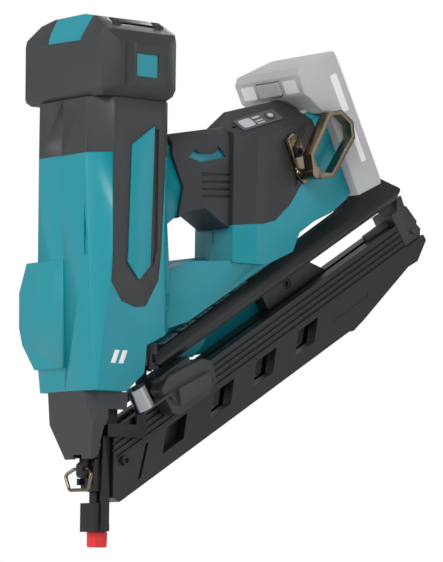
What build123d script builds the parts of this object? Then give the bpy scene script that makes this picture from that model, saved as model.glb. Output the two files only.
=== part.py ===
"""Cordless angled finish nailer: casings, drive, nose, magazine, grip, hook and battery pack.

Millimetres. The origin is the tip of the contact foot, on the axis of the driver blade.
+Z runs up the driver axis, +X runs back along the handle to the battery, +Y is the tool's
right-hand side. The rest pose is a cocked tool: piston up, contact foot down, magazine empty.
"""
from build123d import *
from math import cos, sin, radians, pi
import os

os.makedirs("parts", exist_ok=True)

# ---------------------------------------------------------------- driving dimensions
wall = 3.0                     # moulded casing wall
slide_gap = 0.4                # gap between a moving piece and what it slides past
fit_gap = 0.05                 # radial clearance of a journal or a seal
cover_step = 0.8               # how far a badge or an inlay stands proud
screw_radius = 1.8
screw_head_radius = 3.4
screw_head_height = 3.0

# head
head_bottom = 105.0            # bottom of the teal head casing
head_top = 304.0               # where the cap starts
head_front = -34.0             # front plane of the head
head_rear = 26.0               # rear plane of the head
head_half_width = 43.0
shroud_bottom = 266.0          # bottom of the dark ring under the cap
cap_top = 362.0
cap_half_width = 52.0
cap_rear = 29.0

# drive
stroke = 90.0                  # travel of the piston and the driver blade
cylinder_bore = 37.0
cylinder_wall = 1.6
cylinder_bottom = 218.0
bumper_height = 16.0
piston_height = 14.0
seal_width = 3.0
blade_thickness = 2.5
blade_tip_rest = 96.0          # blade tip above the foot's tip, cocked
blade_half_width = 2.4
rack_low = 5.0                 # rack's plain edge, left of the axis
rack_root = 3.0                # rack's root line, right of the axis
rack_tip = 6.2                 # rack's tooth tips
rack_pitch = 9.0
tooth_thickness = 2.4
chamber_half_x = 22.4
chamber_half_y = 38.0
chamber_wall = 2.2
chamber_top = 354.0

# lifter, gearbox and motor, all on one axis parallel to X
lifter_height = 158.0          # height of the motor axis
lifter_radius = 18.0           # pitch radius of the lifter pins
pin_radius = 1.8
disc_thickness = 4.0
disc_front = 2.0
motor_radius = 20.0
motor_length = 46.0

# nose
foot_travel = 6.5
channel_half_x = blade_thickness / 2 + 0.35
channel_half_y = blade_half_width + 0.4
tube_half = 4.2                # fixed nose tube, half width
exit_radius = 3.1              # bore the nail and the blade leave through
foot_floor = 10.4              # top of the foot's floor
tube_bottom = foot_floor + foot_travel + 1.5
guide_half_y = 7.8
door_top = 60.0
door_bottom = 37.5
foot_column_top = 30.0
wire_radius = 1.3

# magazine, drawn in a frame turned up by the magazine angle
magazine_angle = 32.5
mag_x = 4.3
mag_z = 27.5
mag_half_width = 12.0
mag_height = 44.0
mag_length = 335.0
mag_slot = 2.6                 # half width of the slot the nails run in
window_starts = (55.0, 103.0, 147.0, 191.0)
window_length = 21.0
window_low = 9.5
window_high = 23.0
arm_low = 60.0
arm_high = 74.0
arm_start = 84.0
arm_end = mag_length - 5.0
pusher_start = 68.0
pusher_length = 48.0
roll_u = 50.0                  # middle of the roll spring, along and across the magazine
roll_v = 56.0
roll_y = -25.0
roll_radius = 7.3
roll_length = 16.0

# handle and base
handle_half_width = 15.0
grip_thickness = 3.0
trigger_x = 55.0               # hinge of the trigger
trigger_z = 240.0
trigger_half_width = 6.0
column_front = 96.0
column_half_width = 22.0
base_half_width = 29.0
bevel_slope = (-0.25, 0.62, 0.74)  # normal of the base's sloping shoulders
hook_screw_x = 145.0
hook_screw_z = 280.0

# battery pack, drawn in a frame tipped back by the battery angle
battery_angle = 26.0
pack_x = 174.8                 # middle of the face where the pack meets the base
pack_z = 298.7
pack_low = -50.5               # lower and upper ends of the pack, along its slide
pack_high = 51.0
pack_half_width = 37.0
pack_depth = 29.3              # how far the pack stands out behind the base
pack_block_depth = 15.0        # how far its thick end reaches forward
rail_gap = 0.5

lifter_y = rack_root + 0.4 + pin_radius + lifter_radius
rest_piston_low = cylinder_bottom + bumper_height + 2.0 + stroke
bore_radius = cylinder_bore / 2


# ---------------------------------------------------------------- frames and small helpers
def side_plane(y):
    """The X-Z plane at y, facing -Y; sketch x is X and sketch y is Z."""
    return Plane(origin=(0, y, 0), x_dir=(1, 0, 0), z_dir=(0, -1, 0))


def mag_plane(y):
    """The magazine's side plane at y; sketch x runs along it and sketch y across it."""
    a = radians(magazine_angle)
    return Plane(origin=(mag_x, y, mag_z), x_dir=(cos(a), 0, sin(a)), z_dir=(0, -1, 0))


def mag_point(u, y, v):
    """A point given along, beside and across the magazine."""
    a = radians(magazine_angle)
    return (mag_x + u * cos(a) - v * sin(a), y, mag_z + u * sin(a) + v * cos(a))


def mag_frame(u, y, v):
    """A plane across the magazine's height, facing away from its bottom."""
    a = radians(magazine_angle)
    return Plane(origin=mag_point(u, y, v), x_dir=(cos(a), 0, sin(a)), z_dir=(-sin(a), 0, cos(a)))


def pack_plane(y):
    """The battery's side plane at y; sketch x points out of the base, sketch y up the slide."""
    a = radians(battery_angle)
    return Plane(origin=(pack_x, y, pack_z), x_dir=(cos(a), 0, sin(a)), z_dir=(0, -1, 0))


def outline(*points):
    """A closed straight-sided face in the current sketch."""
    return Polygon(*points, align=None)


def prism(plane, amount, *points, mode=Mode.ADD):
    """Draws a closed outline on a plane and extrudes it along the plane's normal."""
    with BuildSketch(plane, mode=Mode.PRIVATE) as profile:
        Polygon(*points, align=None)
    extrude(profile.sketch, amount=amount, mode=mode)


def side_prism(y_low, y_high, *points, mode=Mode.ADD):
    """A prism across the tool, its outline in X and Z."""
    prism(side_plane(y_high), y_high - y_low, *points, mode=mode)


def mag_prism(y_low, y_high, *points, mode=Mode.ADD):
    """A prism across the magazine, its outline in the magazine's own frame."""
    prism(mag_plane(y_high), y_high - y_low, *points, mode=mode)


def pack_prism(y_low, y_high, *points, mode=Mode.ADD):
    """A prism across the battery pack, its outline in the pack's own frame."""
    prism(pack_plane(y_high), y_high - y_low, *points, mode=mode)


def block(x, y, z, mode=Mode.ADD):
    """A box from three (low, high) pairs."""
    centre = ((x[0] + x[1]) / 2, (y[0] + y[1]) / 2, (z[0] + z[1]) / 2)
    with Locations(centre):
        Box(x[1] - x[0], y[1] - y[0], z[1] - z[0], mode=mode)


def rod(start, direction, radius, length, mode=Mode.ADD):
    """A round rod from a start point along a direction."""
    with BuildSketch(Plane(origin=start, z_dir=direction), mode=Mode.PRIVATE) as section:
        Circle(radius)
    extrude(section.sketch, amount=length, mode=mode)


def save(piece, label):
    """Labels a finished piece and writes its STEP file."""
    piece.part.label = label
    export_step(piece.part, f"parts/{label}.step")


def arm_top_at(x):
    """Height of the clear line above the magazine's top arm, at a place along X."""
    a = radians(magazine_angle)
    return mag_z + ((x - mag_x) * sin(a) + arm_high + 5) / cos(a)


def rect(x0, x1, y0, y1):
    """The four corners of a rectangle."""
    return (x0, y0), (x1, y0), (x1, y1), (x0, y1)


def boss_span(screw_y, wall_y):
    """The Y range of a screw boss that grows from the side wall at wall_y."""
    side = 1 if screw_y > 0 else -1
    return sorted((screw_y - 2.6 * side, wall_y * side))


# ---------------------------------------------------------------- screws, placed before what they hold
housing_screw_spots = ((-22.0, 124.0), (62.0, 194.0), (62.0, 262.0), (104.0, 238.0),
                       (118.0, 284.0))
cap_screw_spots = ((-17.5, -36.0), (-17.5, 36.0), (17.5, -36.0), (17.5, 36.0))
cap_screw_top = cap_top - 24
frame_screw_length = 7.0
frame_screw_spots = ((mag_point(24.5, -mag_half_width, 22.2), -1),
                     (mag_point(24.5, mag_half_width, 22.2), 1),
                     (mag_point(222.3, 6.4, 52.0), -1),
                     ((hook_screw_x, -base_half_width - 2.5, hook_screw_z), -1))

with BuildPart() as housing_screws:
    for screw_x, screw_z in housing_screw_spots:
        rod((screw_x, -9, screw_z), (0, 1, 0), screw_radius, 19)
        rod((screw_x, 10, screw_z), (0, 1, 0), screw_head_radius, screw_head_height)
        with BuildSketch(Plane(origin=(screw_x, 13, screw_z), z_dir=(0, 1, 0))):
            RegularPolygon(1.7, 6)
        extrude(amount=-1.8, mode=Mode.SUBTRACT)
save(housing_screws, "housing_screws")

with BuildPart() as cap_screws:
    for screw_x, screw_y in cap_screw_spots:
        rod((screw_x, screw_y, head_top - 9), (0, 0, 1), screw_radius, cap_screw_top - head_top + 9)
        rod((screw_x, screw_y, cap_screw_top), (0, 0, 1), screw_head_radius, screw_head_height)
save(cap_screws, "cap_screws")

with BuildPart() as frame_screws:
    for spot, outward in frame_screw_spots:
        rod(spot, (0, -outward, 0), screw_radius, frame_screw_length)
        rod(spot, (0, outward, 0), screw_head_radius, screw_head_height)
        head_face = (spot[0], spot[1] + outward * screw_head_height, spot[2])
        with BuildSketch(Plane(origin=head_face, z_dir=(0, outward, 0))):
            RegularPolygon(1.9, 6)
        extrude(amount=-1.8, mode=Mode.SUBTRACT)
save(frame_screws, "frame_screws")


def frame_screw_holes():
    """Cuts the shank holes of the frame screws out of the current part."""
    for spot, outward in frame_screw_spots:
        rod(spot, (0, -outward, 0), screw_radius, frame_screw_length, mode=Mode.SUBTRACT)


# ---------------------------------------------------------------- outer form of the casing
front_flat = 28.0
bulge_y = 53.0
bulge_low = lifter_height - 37
bulge_high = lifter_height + 37

with BuildPart() as head_form:
    side_prism(-60, 60, (-28.5, head_bottom), (-3, head_bottom), (11, 118), (12, 137), (34, 148),
               (36, 192), (head_rear, 232), (head_rear, head_top), (head_front, head_top),
               (head_front, 262))
    with BuildSketch(Plane.XY.offset(head_bottom), mode=Mode.PRIVATE) as plan:
        outline((head_front, front_flat), (head_front, -front_flat), (-21, -head_half_width),
                (22, -head_half_width), (37, -29), (37, 29), (22, head_half_width),
                (-21, head_half_width))
    extrude(plan.sketch, amount=head_top - head_bottom, mode=Mode.INTERSECT)
    with BuildSketch(Plane.YZ.offset(-60), mode=Mode.PRIVATE) as front:
        outline((-36, head_bottom), (30, head_bottom), (head_half_width, 200),
                (head_half_width, head_top), (-head_half_width, head_top),
                (-head_half_width, 200))
    extrude(front.sketch, amount=120, mode=Mode.INTERSECT)

with BuildPart() as bulge_form:
    side_prism(0, bulge_y, (-31, bulge_low), (12, bulge_low), (12, bulge_high), (-32, bulge_high))
    with BuildSketch(Plane.YZ.offset(-60), mode=Mode.PRIVATE) as bulge_front:
        outline((0, bulge_low), (34, bulge_low), (bulge_y - 4, bulge_low + 18),
                (bulge_y, bulge_low + 30), (bulge_y, bulge_high - 20),
                (bulge_y - 9, bulge_high), (0, bulge_high))
    extrude(bulge_front.sketch, amount=120, mode=Mode.INTERSECT)
    chamfer(bulge_form.edges().filter_by(Axis.Z).group_by(Axis.X)[0].sort_by(Axis.Y)[-1], 8)

barrel_y0 = lifter_y - motor_radius - wall + 1.0
barrel_y1 = lifter_y + motor_radius + wall

with BuildPart() as lower_form:
    side_prism(-20, barrel_y0 + 4, (16, 158), (34, 148), (60, arm_top_at(60)),
               (144, arm_top_at(144)), (150, 222), (110, 222), (97, 201), (62, 199), (34, 188),
               (16, 188))
    side_prism(barrel_y0, barrel_y1, (8, 134), (80, 134), (88, 141), (96, 158), (96, 184),
               (84, 190), (8, 184))
    side_prism(14.5, barrel_y1, (80, 134), (104, 139), (150, 168), (158, 178), (158, 200),
               (144, 212), (90, 205), (80, 190))
    chamfer(lower_form.edges().filter_by(Axis.X).group_by(Axis.Y)[-1], 9)

with BuildPart() as handle_form:
    side_prism(-handle_half_width, handle_half_width, (20, 279), (51, 284.5), (88, 291), (99, 291),
               (99, 228), (75, 240), (61, 236.5), (44, 223), (20, 212))
    chamfer(handle_form.edges().filter_by(lambda e: abs(e.center().Y) > 14.9
                                          and e.center().Z > 279.5 and e.length > 20), 6)

with BuildPart() as base_form:
    side_prism(-base_half_width, base_half_width, (column_front, 200), (column_front, 292),
               (106, 308.5), (137, 317), (146, 319), (153, 317), (160, 311.5), (165, 308.5),
               (171, 308.5), (180, 304), (199, 262), (192, 251), (178, 240), (163, 233),
               (150, 224), (144, arm_top_at(144)), (120, 199))
    with BuildSketch(Plane.XY.offset(190), mode=Mode.PRIVATE) as base_plan:
        outline((column_front, -column_half_width), (112, -base_half_width),
                (206, -base_half_width), (206, base_half_width),
                (112, base_half_width), (column_front, column_half_width))
    extrude(base_plan.sketch, amount=140, mode=Mode.INTERSECT)
    for side in (-1, 1):
        split(bisect_by=Plane(origin=(115, side * base_half_width, 290),
                              z_dir=(bevel_slope[0], side * bevel_slope[1], bevel_slope[2])),
              keep=Keep.BOTTOM)

# ---------------------------------------------------------------- cavities of the casing
lifter_clearance = lifter_radius + pin_radius + 1.4
with BuildPart() as cavity:
    # drive space in the head
    prism(Plane.XY.offset(208), head_top + 5 - 208, (-30.5, 25.5), (-30.5, -25.5), (-19, -39.5),
          (20, -39.5), (23, -37), (23, 37), (20, 39.5), (-19, 39.5))
    # lifter space, with the passage down to the nose
    block((-20, 7.5), (-20, lifter_y + lifter_clearance), (lifter_height - lifter_clearance - 1,
                                                         lifter_height + lifter_clearance + 1))
    block((-20, 7.5), (-20, 24), (lifter_height, 212))
    block((-14, 12), (-12, 14), (head_bottom - 5, lifter_height))
    # gearbox and motor barrel
    rod((7, lifter_y, lifter_height), (1, 0, 0), motor_radius + 0.5, 82)
    # handle: switch and wires
    block((34, 100), (-9, 9), (243, 279))
    block((34, 44), (-9, 9), (190, 246))
    # base: board and terminals
    block((99.2, 142), (-17, 17), (228, 296))
    block((130, 158), (-17, 17), (240, 290))

# trigger slot under the handle root
with BuildPart() as trigger_slot:
    block((37, 62), (-trigger_half_width - slide_gap, trigger_half_width + slide_gap), (203, 247))

# battery bay: the rail channel, then the room the pack's thick end needs
rail_half_width = 22.0
rail_depth = 11.0
rail_low = -40.0
lip_width = 3.0
with BuildPart() as battery_bay:
    pack_prism(-rail_half_width - rail_gap, rail_half_width + rail_gap,
               *rect(-rail_depth - rail_gap, -rail_depth / 2, rail_low - 2, 60))
    pack_prism(lip_width - rail_half_width - rail_gap, rail_half_width + rail_gap - lip_width,
               *rect(-rail_depth, 1, rail_low - 2, 60))
    pack_prism(-60, 60, *rect(-rail_gap, 60, -90, 90))

# sloping face that carries the mode panel, and its button
panel_x = 121.0
panel_y = -17.0
panel_z = 290 + (0.25 * (panel_x - 115) + 0.62 * (panel_y + base_half_width)) / 0.74
panel_plane = Plane(origin=(panel_x, panel_y, panel_z), x_dir=(0.74, 0, 0.25),
                    z_dir=(bevel_slope[0], -bevel_slope[1], bevel_slope[2]))
button_spot = panel_plane.from_local_coords((11, 0, 0))
button_radius = 3.6
hook_pivot_x = 150.5
hook_pivot_z = 265.0
screw_hole_radius = 2.1

dial_x = 24.0
dial_y = -25.0
dial_low = 132.0
dial_high = 139.2
journal_radius = 1.7

with BuildPart() as casing_form:
    add(head_form.part)
    add(bulge_form.part)
    add(lower_form.part)
    add(handle_form.part)
    add(base_form.part)

with BuildPart() as casing:
    add(casing_form.part)
    add(cavity.part, mode=Mode.SUBTRACT)
    add(trigger_slot.part, mode=Mode.SUBTRACT)
    add(battery_bay.part, mode=Mode.SUBTRACT)
    for screw_x, screw_y in cap_screw_spots:
        block((screw_x - 3, screw_x + 3), boss_span(screw_y, 39.8), (head_top - 14, head_top))

# ---------------------------------------------------------------- casing split into its mouldings
half_space = 400.0
shroud_depth = 33.0            # the dark side frames are this far out from the middle
frame_outline = ((-21.5, shroud_bottom), (-20.5, 178), (-11.5, 165.5), (0, 162), (9, 163),
                 (18.5, 181), (22.5, shroud_bottom))
inlay_outline = ((-6.5, 272), (12.5, 286.5), (10.3, 191), (1.2, 180.5), (-8.5, 192))
cover_outline = ((column_front, 226), (118, 228), (128, 231), (141, 243), (151, 258),
                 (164, 298), (158, 309), (161, 340), (column_front, 340))

with BuildPart() as shroud_zone:
    block((-60, head_rear), (-60, 60), (shroud_bottom, head_top + 1))
    for side in (-1, 1):
        y_low = shroud_depth if side > 0 else -60.0
        side_prism(y_low, y_low + 60 - shroud_depth, *frame_outline)
with BuildPart() as cover_zone:
    side_prism(-40, 40, *cover_outline)

with BuildPart() as inlay_pocket:
    for side in (-1, 1):
        y_low = head_half_width - 1.4 if side > 0 else -60.0
        side_prism(y_low, y_low + 60 - head_half_width + 1.4, *inlay_outline)

# the groove, the slit and the vents that the casing shows
with BuildPart() as surface_cuts:
    for side in (-1, 1):
        y_low = head_half_width - 1.8 if side > 0 else -60.0
        y_high = 60.0 if side > 0 else -head_half_width + 1.8
        side_prism(y_low, y_high, (13, 284), (16, 284), (16, 200), (13, 190))
        side_prism(y_low + 1, y_high - 1, (2.5, 165), (4, 165), (4, 174), (2.5, 174))
    prism(Plane.YZ.offset(-60), 60 + head_front + 3.4, (-29, 196), (-24.5, 196), (-24.5, 249))
    for vent_x in (28.5, 33.0):
        for vent_z in (153.0, 164.5):
            block((vent_x, vent_x + 1.6), (-60, -24), (vent_z, vent_z + 9))
    for vent_z in range(3):
        block((100, 150), (barrel_y1 - 2, 70), (172 + 7 * vent_z, 175 + 7 * vent_z))
    side_prism(-60, -base_half_width + 2, (146, 256), (148.5, 261), (148.5, 282), (146, 277))

parting = {"left": (-half_space, 0.0), "right": (0.0, half_space)}


def half_of(form, side):
    """The part of a form on one side of the parting plane."""
    low, high = parting[side]
    with BuildPart() as half:
        add(form)
        block((-half_space, half_space), (low, high), (-half_space, half_space),
              mode=Mode.INTERSECT)
    return half.part


with BuildPart() as casing_cut:
    add(casing.part)
    add(surface_cuts.part, mode=Mode.SUBTRACT)
    add(housing_screws.part, mode=Mode.SUBTRACT)
    for screw_x, screw_z in housing_screw_spots:
        rod((screw_x, 10, screw_z), (0, 1, 0), screw_head_radius + 0.3, 60, mode=Mode.SUBTRACT)
    for screw_x, screw_y in cap_screw_spots:
        rod((screw_x, screw_y, head_top - 9), (0, 0, 1), screw_radius, 20, mode=Mode.SUBTRACT)
    rod((dial_x, dial_y, dial_low), (0, 0, 1), journal_radius + fit_gap, 26, mode=Mode.SUBTRACT)
    rod((trigger_x, -11, trigger_z), (0, 1, 0), journal_radius + fit_gap, 22, mode=Mode.SUBTRACT)
    rod(button_spot, panel_plane.z_dir.reverse(), button_radius + slide_gap, 3, mode=Mode.SUBTRACT)
    rod((hook_screw_x, base_half_width, hook_screw_z), (0, -1, 0), screw_hole_radius, 8,
        mode=Mode.SUBTRACT)
    frame_screw_holes()

for side in ("left", "right"):
    half = half_of(casing_cut.part, side)
    with BuildPart() as housing:
        add(half)
        add(shroud_zone.part, mode=Mode.SUBTRACT)
        add(cover_zone.part, mode=Mode.SUBTRACT)
    save(housing, f"housing_{side}")
    with BuildPart() as shroud:
        add(half)
        add(shroud_zone.part, mode=Mode.INTERSECT)
        add(inlay_pocket.part, mode=Mode.SUBTRACT)
    save(shroud, f"shroud_{side}")
    with BuildPart() as cover:
        add(half)
        add(cover_zone.part, mode=Mode.INTERSECT)
    save(cover, f"base_cover_{side}")


# ---------------------------------------------------------------- inlays, cap and badges
with BuildPart() as shroud_inlays:
    for side in (-1, 1):
        y_low = head_half_width - 1.4 if side > 0 else -head_half_width - cover_step
        side_prism(y_low, y_low + 1.4 + cover_step, *inlay_outline)
save(shroud_inlays, "shroud_inlays")

cap_rim = 5.0
with BuildPart() as cap_form:
    side_prism(-cap_half_width, cap_half_width, (head_front + 3, head_top),
               (head_front - 0.5, head_top + cap_rim), (head_front - 1, cap_top - 17),
               (head_front + 5, cap_top), (cap_rear - 8, cap_top),
               (cap_rear, cap_top - 17), (cap_rear, head_top + 8), (cap_rear - 7, head_top))
    prism(Plane.XY.offset(head_top - 1), cap_top - head_top + 2, (head_front - 1, 45),
          (head_front - 1, -45), (-23, -cap_half_width), (16, -cap_half_width), (cap_rear, -44),
          (cap_rear, 44), (16, cap_half_width), (-23, cap_half_width), mode=Mode.INTERSECT)
    prism(Plane.YZ.offset(-60), 120, (-head_half_width, head_top), (-cap_half_width, head_top + 7),
          (-cap_half_width, cap_top - 22), (-cap_half_width + 5, cap_top - 13), (-33, cap_top - 3),
          (-18, cap_top), (18, cap_top), (33, cap_top - 3), (cap_half_width - 5, cap_top - 13),
          (cap_half_width, cap_top - 22), (cap_half_width, head_top + 7), (head_half_width, head_top),
          mode=Mode.INTERSECT)
badge_outline = ((-21, 343), (17, 344), (18, 352), (14, cap_top + 3), (-31, cap_top + 3))
side_badge_outline = rect(-9.5, 8.5, 317.5, 333.5)
cap_cavity_top = chamber_top + 1.5

badge_inset = Location((1.3, 0, -1.2))
with BuildPart() as cap_badge:
    add(cap_form.part)
    prism(Plane.YZ.offset(-60), 60 - 18, *badge_outline, mode=Mode.INTERSECT)
    add(cap_form.part.moved(badge_inset), mode=Mode.SUBTRACT)
save(cap_badge, "cap_badge")

with BuildPart() as cap_side_badges:
    for side in (-1, 1):
        y_low = cap_half_width - 1.6 if side > 0 else -cap_half_width + 0.8
        side_prism(y_low, y_low + 0.8, *side_badge_outline)
save(cap_side_badges, "cap_side_badges")

with BuildPart() as top_cap:
    add(cap_form.part)
    add(cap_badge.part, mode=Mode.SUBTRACT)
    prism(Plane.XY.offset(head_top - 1), cap_cavity_top - head_top + 1, (-30, 26), (-30, -26),
          (-19, -40), (19, -40), (24.5, -35), (24.5, 35), (19, 40), (-19, 40), mode=Mode.SUBTRACT)
    for screw_x, screw_y in cap_screw_spots:
        block((screw_x - 3, screw_x + 3), boss_span(screw_y, 40.5), (head_top, cap_cavity_top))
    for side in (-1, 1):
        y_low = cap_half_width - 1.6 if side > 0 else -cap_half_width - 5
        side_prism(y_low, y_low + 6.6, *side_badge_outline, mode=Mode.SUBTRACT)
        # finger-wide flute in front of each side badge
        rod((-14.5, side * (cap_half_width + 4.5), head_top - 2), (0, 0, 1), 6.5, 80,
            mode=Mode.SUBTRACT)
    for screw_x, screw_y in cap_screw_spots:
        rod((screw_x, screw_y, head_top - 2), (0, 0, 1), screw_radius, 60, mode=Mode.SUBTRACT)
        rod((screw_x, screw_y, cap_screw_top), (0, 0, 1), screw_head_radius + 0.3, 60,
            mode=Mode.SUBTRACT)
save(top_cap, "top_cap")


# ---------------------------------------------------------------- air chamber, cylinder and piston
def stadium(half_x, half_y, z_low, z_high, mode=Mode.ADD):
    """An upright tank with straight sides and round ends."""
    with BuildSketch(Plane.XY.offset(z_low), mode=Mode.PRIVATE) as plan:
        SlotOverall(2 * half_y, 2 * half_x, rotation=90)
    extrude(plan.sketch, amount=z_high - z_low, mode=mode)


cylinder_outer = bore_radius + cylinder_wall
with BuildPart() as pressure_chamber:
    stadium(chamber_half_x, chamber_half_y, cylinder_bottom - 6, chamber_top)
    fillet(pressure_chamber.faces().sort_by(Axis.Z)[-1].edges(), 6)
    stadium(chamber_half_x - chamber_wall, chamber_half_y - chamber_wall, cylinder_bottom,
            chamber_top - chamber_wall, mode=Mode.SUBTRACT)
    block((-3, 3), (-8.5, 9), (cylinder_bottom - 8, cylinder_bottom + 1), mode=Mode.SUBTRACT)
save(pressure_chamber, "pressure_chamber")

cylinder_top = rest_piston_low + piston_height + 4
with BuildPart() as drive_cylinder:
    rod((0, 0, cylinder_bottom), (0, 0, 1), cylinder_outer, cylinder_top - cylinder_bottom)
    rod((0, 0, cylinder_bottom), (0, 0, 1), bore_radius, cylinder_top, mode=Mode.SUBTRACT)
save(drive_cylinder, "drive_cylinder")

with BuildPart() as bumper:
    rod((0, 0, cylinder_bottom), (0, 0, 1), bore_radius - 0.5, bumper_height)
    fillet(bumper.faces().sort_by(Axis.Z)[-1].edges(), 3)
    rod((0, 0, cylinder_bottom - 1), (0, 0, 1), 8.5, bumper_height + 2, mode=Mode.SUBTRACT)
save(bumper, "bumper")

seal_spots = (2.0, piston_height - 2.0 - seal_width)
with BuildPart() as piston:
    rod((0, 0, rest_piston_low), (0, 0, 1), bore_radius - slide_gap, piston_height)
    rod((0, 0, rest_piston_low + piston_height - 5), (0, 0, 1), bore_radius - 5, 6,
        mode=Mode.SUBTRACT)
    block((-blade_thickness / 2, blade_thickness / 2), (-rack_low, rack_root),
          (rest_piston_low - 1, rest_piston_low + 7), mode=Mode.SUBTRACT)
    for seal_spot in seal_spots:
        with BuildSketch(Plane.XY.offset(rest_piston_low + seal_spot), mode=Mode.PRIVATE) as ring:
            Circle(bore_radius + 1)
            Circle(bore_radius - 2.4, mode=Mode.SUBTRACT)
        extrude(ring.sketch, amount=seal_width, mode=Mode.SUBTRACT)
save(piston, "piston")

with BuildPart() as piston_seals:
    for seal_spot in seal_spots:
        with BuildSketch(Plane.XY.offset(rest_piston_low + seal_spot), mode=Mode.PRIVATE) as ring:
            Circle(bore_radius - fit_gap)
            Circle(bore_radius - 2.4, mode=Mode.SUBTRACT)
        extrude(ring.sketch, amount=seal_width)
save(piston_seals, "piston_seals")

tooth_count = round(stroke / rack_pitch) + 1
rack_bottom = lifter_height - rack_pitch / 2 - tooth_thickness
with BuildPart() as driver_blade:
    half = blade_thickness / 2
    block((-half, half), (-blade_half_width, blade_half_width), (blade_tip_rest, rack_bottom + 2))
    block((-half, half), (-rack_low, rack_root), (rack_bottom, rest_piston_low + 7))
    for tooth in range(tooth_count):
        tooth_z = lifter_height + (tooth - 0.5) * rack_pitch
        tooth_low = tooth_z - tooth_thickness / 2
        tooth_high = tooth_z + tooth_thickness / 2
        prism(Plane.YZ.offset(-half), blade_thickness, (rack_root - 0.5, tooth_low - 0.3),
              (rack_tip, tooth_low + 0.4), (rack_tip, tooth_high - 0.4),
              (rack_root - 0.5, tooth_high + 0.3))
save(driver_blade, "driver_blade")

# ---------------------------------------------------------------- lifter wheel, gearbox and motor
pin_count = tooth_count - 1
shaft_radius = 4.0
gear_front = disc_front + disc_thickness + 1.5
gear_length = 26.0
ring_outer = motor_radius
ring_inner = 16.5
sun_radius = 5.0
planet_radius = (ring_inner - sun_radius) / 2 - 0.4
planet_orbit = (ring_inner + sun_radius) / 2
motor_front = gear_front + gear_length + 1.0
motor_back = motor_front + motor_length
axis_y = lifter_y


def axial(x, radius, length, mode=Mode.ADD):
    """A round disc or bar on the motor axis, from x back."""
    rod((x, axis_y, lifter_height), (1, 0, 0), radius, length, mode=mode)


with BuildPart() as lifter_wheel:
    axial(disc_front, lifter_radius + pin_radius + 0.3, disc_thickness)
    axial(disc_front - 2, 7, 2.5)
    axial(disc_front - 3, shaft_radius, disc_thickness + 8, mode=Mode.SUBTRACT)
    for hole in range(5):
        turn = radians(72 * hole + 36)
        rod((disc_front - 4, axis_y + 11 * cos(turn), lifter_height + 11 * sin(turn)), (1, 0, 0), 2.4,
            14, mode=Mode.SUBTRACT)
    for pin in range(pin_count):
        turn = pi - pin * rack_pitch / lifter_radius
        rod((-4, axis_y + lifter_radius * cos(turn), lifter_height + lifter_radius * sin(turn)),
            (1, 0, 0), pin_radius - 0.3, 16, mode=Mode.SUBTRACT)
save(lifter_wheel, "lifter_wheel")

with BuildPart() as lifter_pins:
    for pin in range(pin_count):
        turn = pi - pin * rack_pitch / lifter_radius
        start_y = axis_y + lifter_radius * cos(turn)
        start_z = lifter_height + lifter_radius * sin(turn)
        rod((disc_front, start_y, start_z), (1, 0, 0), pin_radius - 0.3, disc_thickness)
        rod((-1.8, start_y, start_z), (1, 0, 0), pin_radius, disc_front + 1.8)
save(lifter_pins, "lifter_pins")

with BuildPart() as planet_carrier:
    axial(disc_front - 3, shaft_radius, gear_front + 3 - disc_front + 3.4)
    axial(gear_front + 3, ring_inner - 1.5, 3)
    for planet in range(3):
        turn = radians(120 * planet + 90)
        rod((gear_front + 6, axis_y + planet_orbit * cos(turn),
             lifter_height + planet_orbit * sin(turn)), (1, 0, 0), 1.8, 12)
save(planet_carrier, "planet_carrier")

with BuildPart() as planet_gears:
    for planet in range(3):
        turn = radians(120 * planet + 90)
        centre = (gear_front + 7, axis_y + planet_orbit * cos(turn),
                  lifter_height + planet_orbit * sin(turn))
        rod(centre, (1, 0, 0), planet_radius, 10)
        rod(centre, (1, 0, 0), 1.8, 10, mode=Mode.SUBTRACT)
save(planet_gears, "planet_gears")

bearing_radius = 8.0
with BuildPart() as gearbox_case:
    axial(gear_front, ring_outer, gear_length)
    axial(gear_front + 2.4, ring_inner, gear_length - 4.8, mode=Mode.SUBTRACT)
    axial(gear_front - 1, bearing_radius, 5, mode=Mode.SUBTRACT)
    axial(gear_front + gear_length - 3, 6, 5, mode=Mode.SUBTRACT)
save(gearbox_case, "gearbox_case")

rotor_radius = 12.0
rotor_front = motor_front + 8
rotor_length = 24.0
shaft_back = motor_back + 8
with BuildPart() as motor_stator:
    axial(motor_front + 4, motor_radius, rotor_length + 8)
    axial(motor_front, rotor_radius + slide_gap, rotor_length + 20, mode=Mode.SUBTRACT)
    for slot in range(6):
        turn = radians(60 * slot + 30)
        rod((motor_front + 2, axis_y + 15.2 * cos(turn), lifter_height + 15.2 * sin(turn)), (1, 0, 0),
            2.0, rotor_length + 16, mode=Mode.SUBTRACT)
save(motor_stator, "motor_stator")

with BuildPart() as motor_windings:
    for slot in range(6):
        turn = radians(60 * slot + 30)
        rod((motor_front + 3, axis_y + 15.2 * cos(turn), lifter_height + 15.2 * sin(turn)), (1, 0, 0),
            2.0, rotor_length + 10)
save(motor_windings, "motor_windings")

with BuildPart() as motor_rotor:
    axial(rotor_front, rotor_radius, rotor_length)
    axial(gear_front + 9, sun_radius - 0.4, 8)
    axial(gear_front + 12, 2.5, shaft_back - gear_front - 12)
save(motor_rotor, "motor_rotor")

fan_front = rotor_front + rotor_length + 5
with BuildPart() as cooling_fan:
    axial(fan_front, 16.5, 1.6)
    fan_plane = Plane(origin=(fan_front + 1, axis_y, lifter_height), z_dir=(1, 0, 0))
    with BuildSketch(fan_plane, mode=Mode.PRIVATE) as vanes:
        Circle(5)
        with PolarLocations(10, 9):
            Rectangle(11.4, 1.4)
    extrude(vanes.sketch, amount=6)
    axial(fan_front - 1, 2.5, 12, mode=Mode.SUBTRACT)
save(cooling_fan, "cooling_fan")

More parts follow.
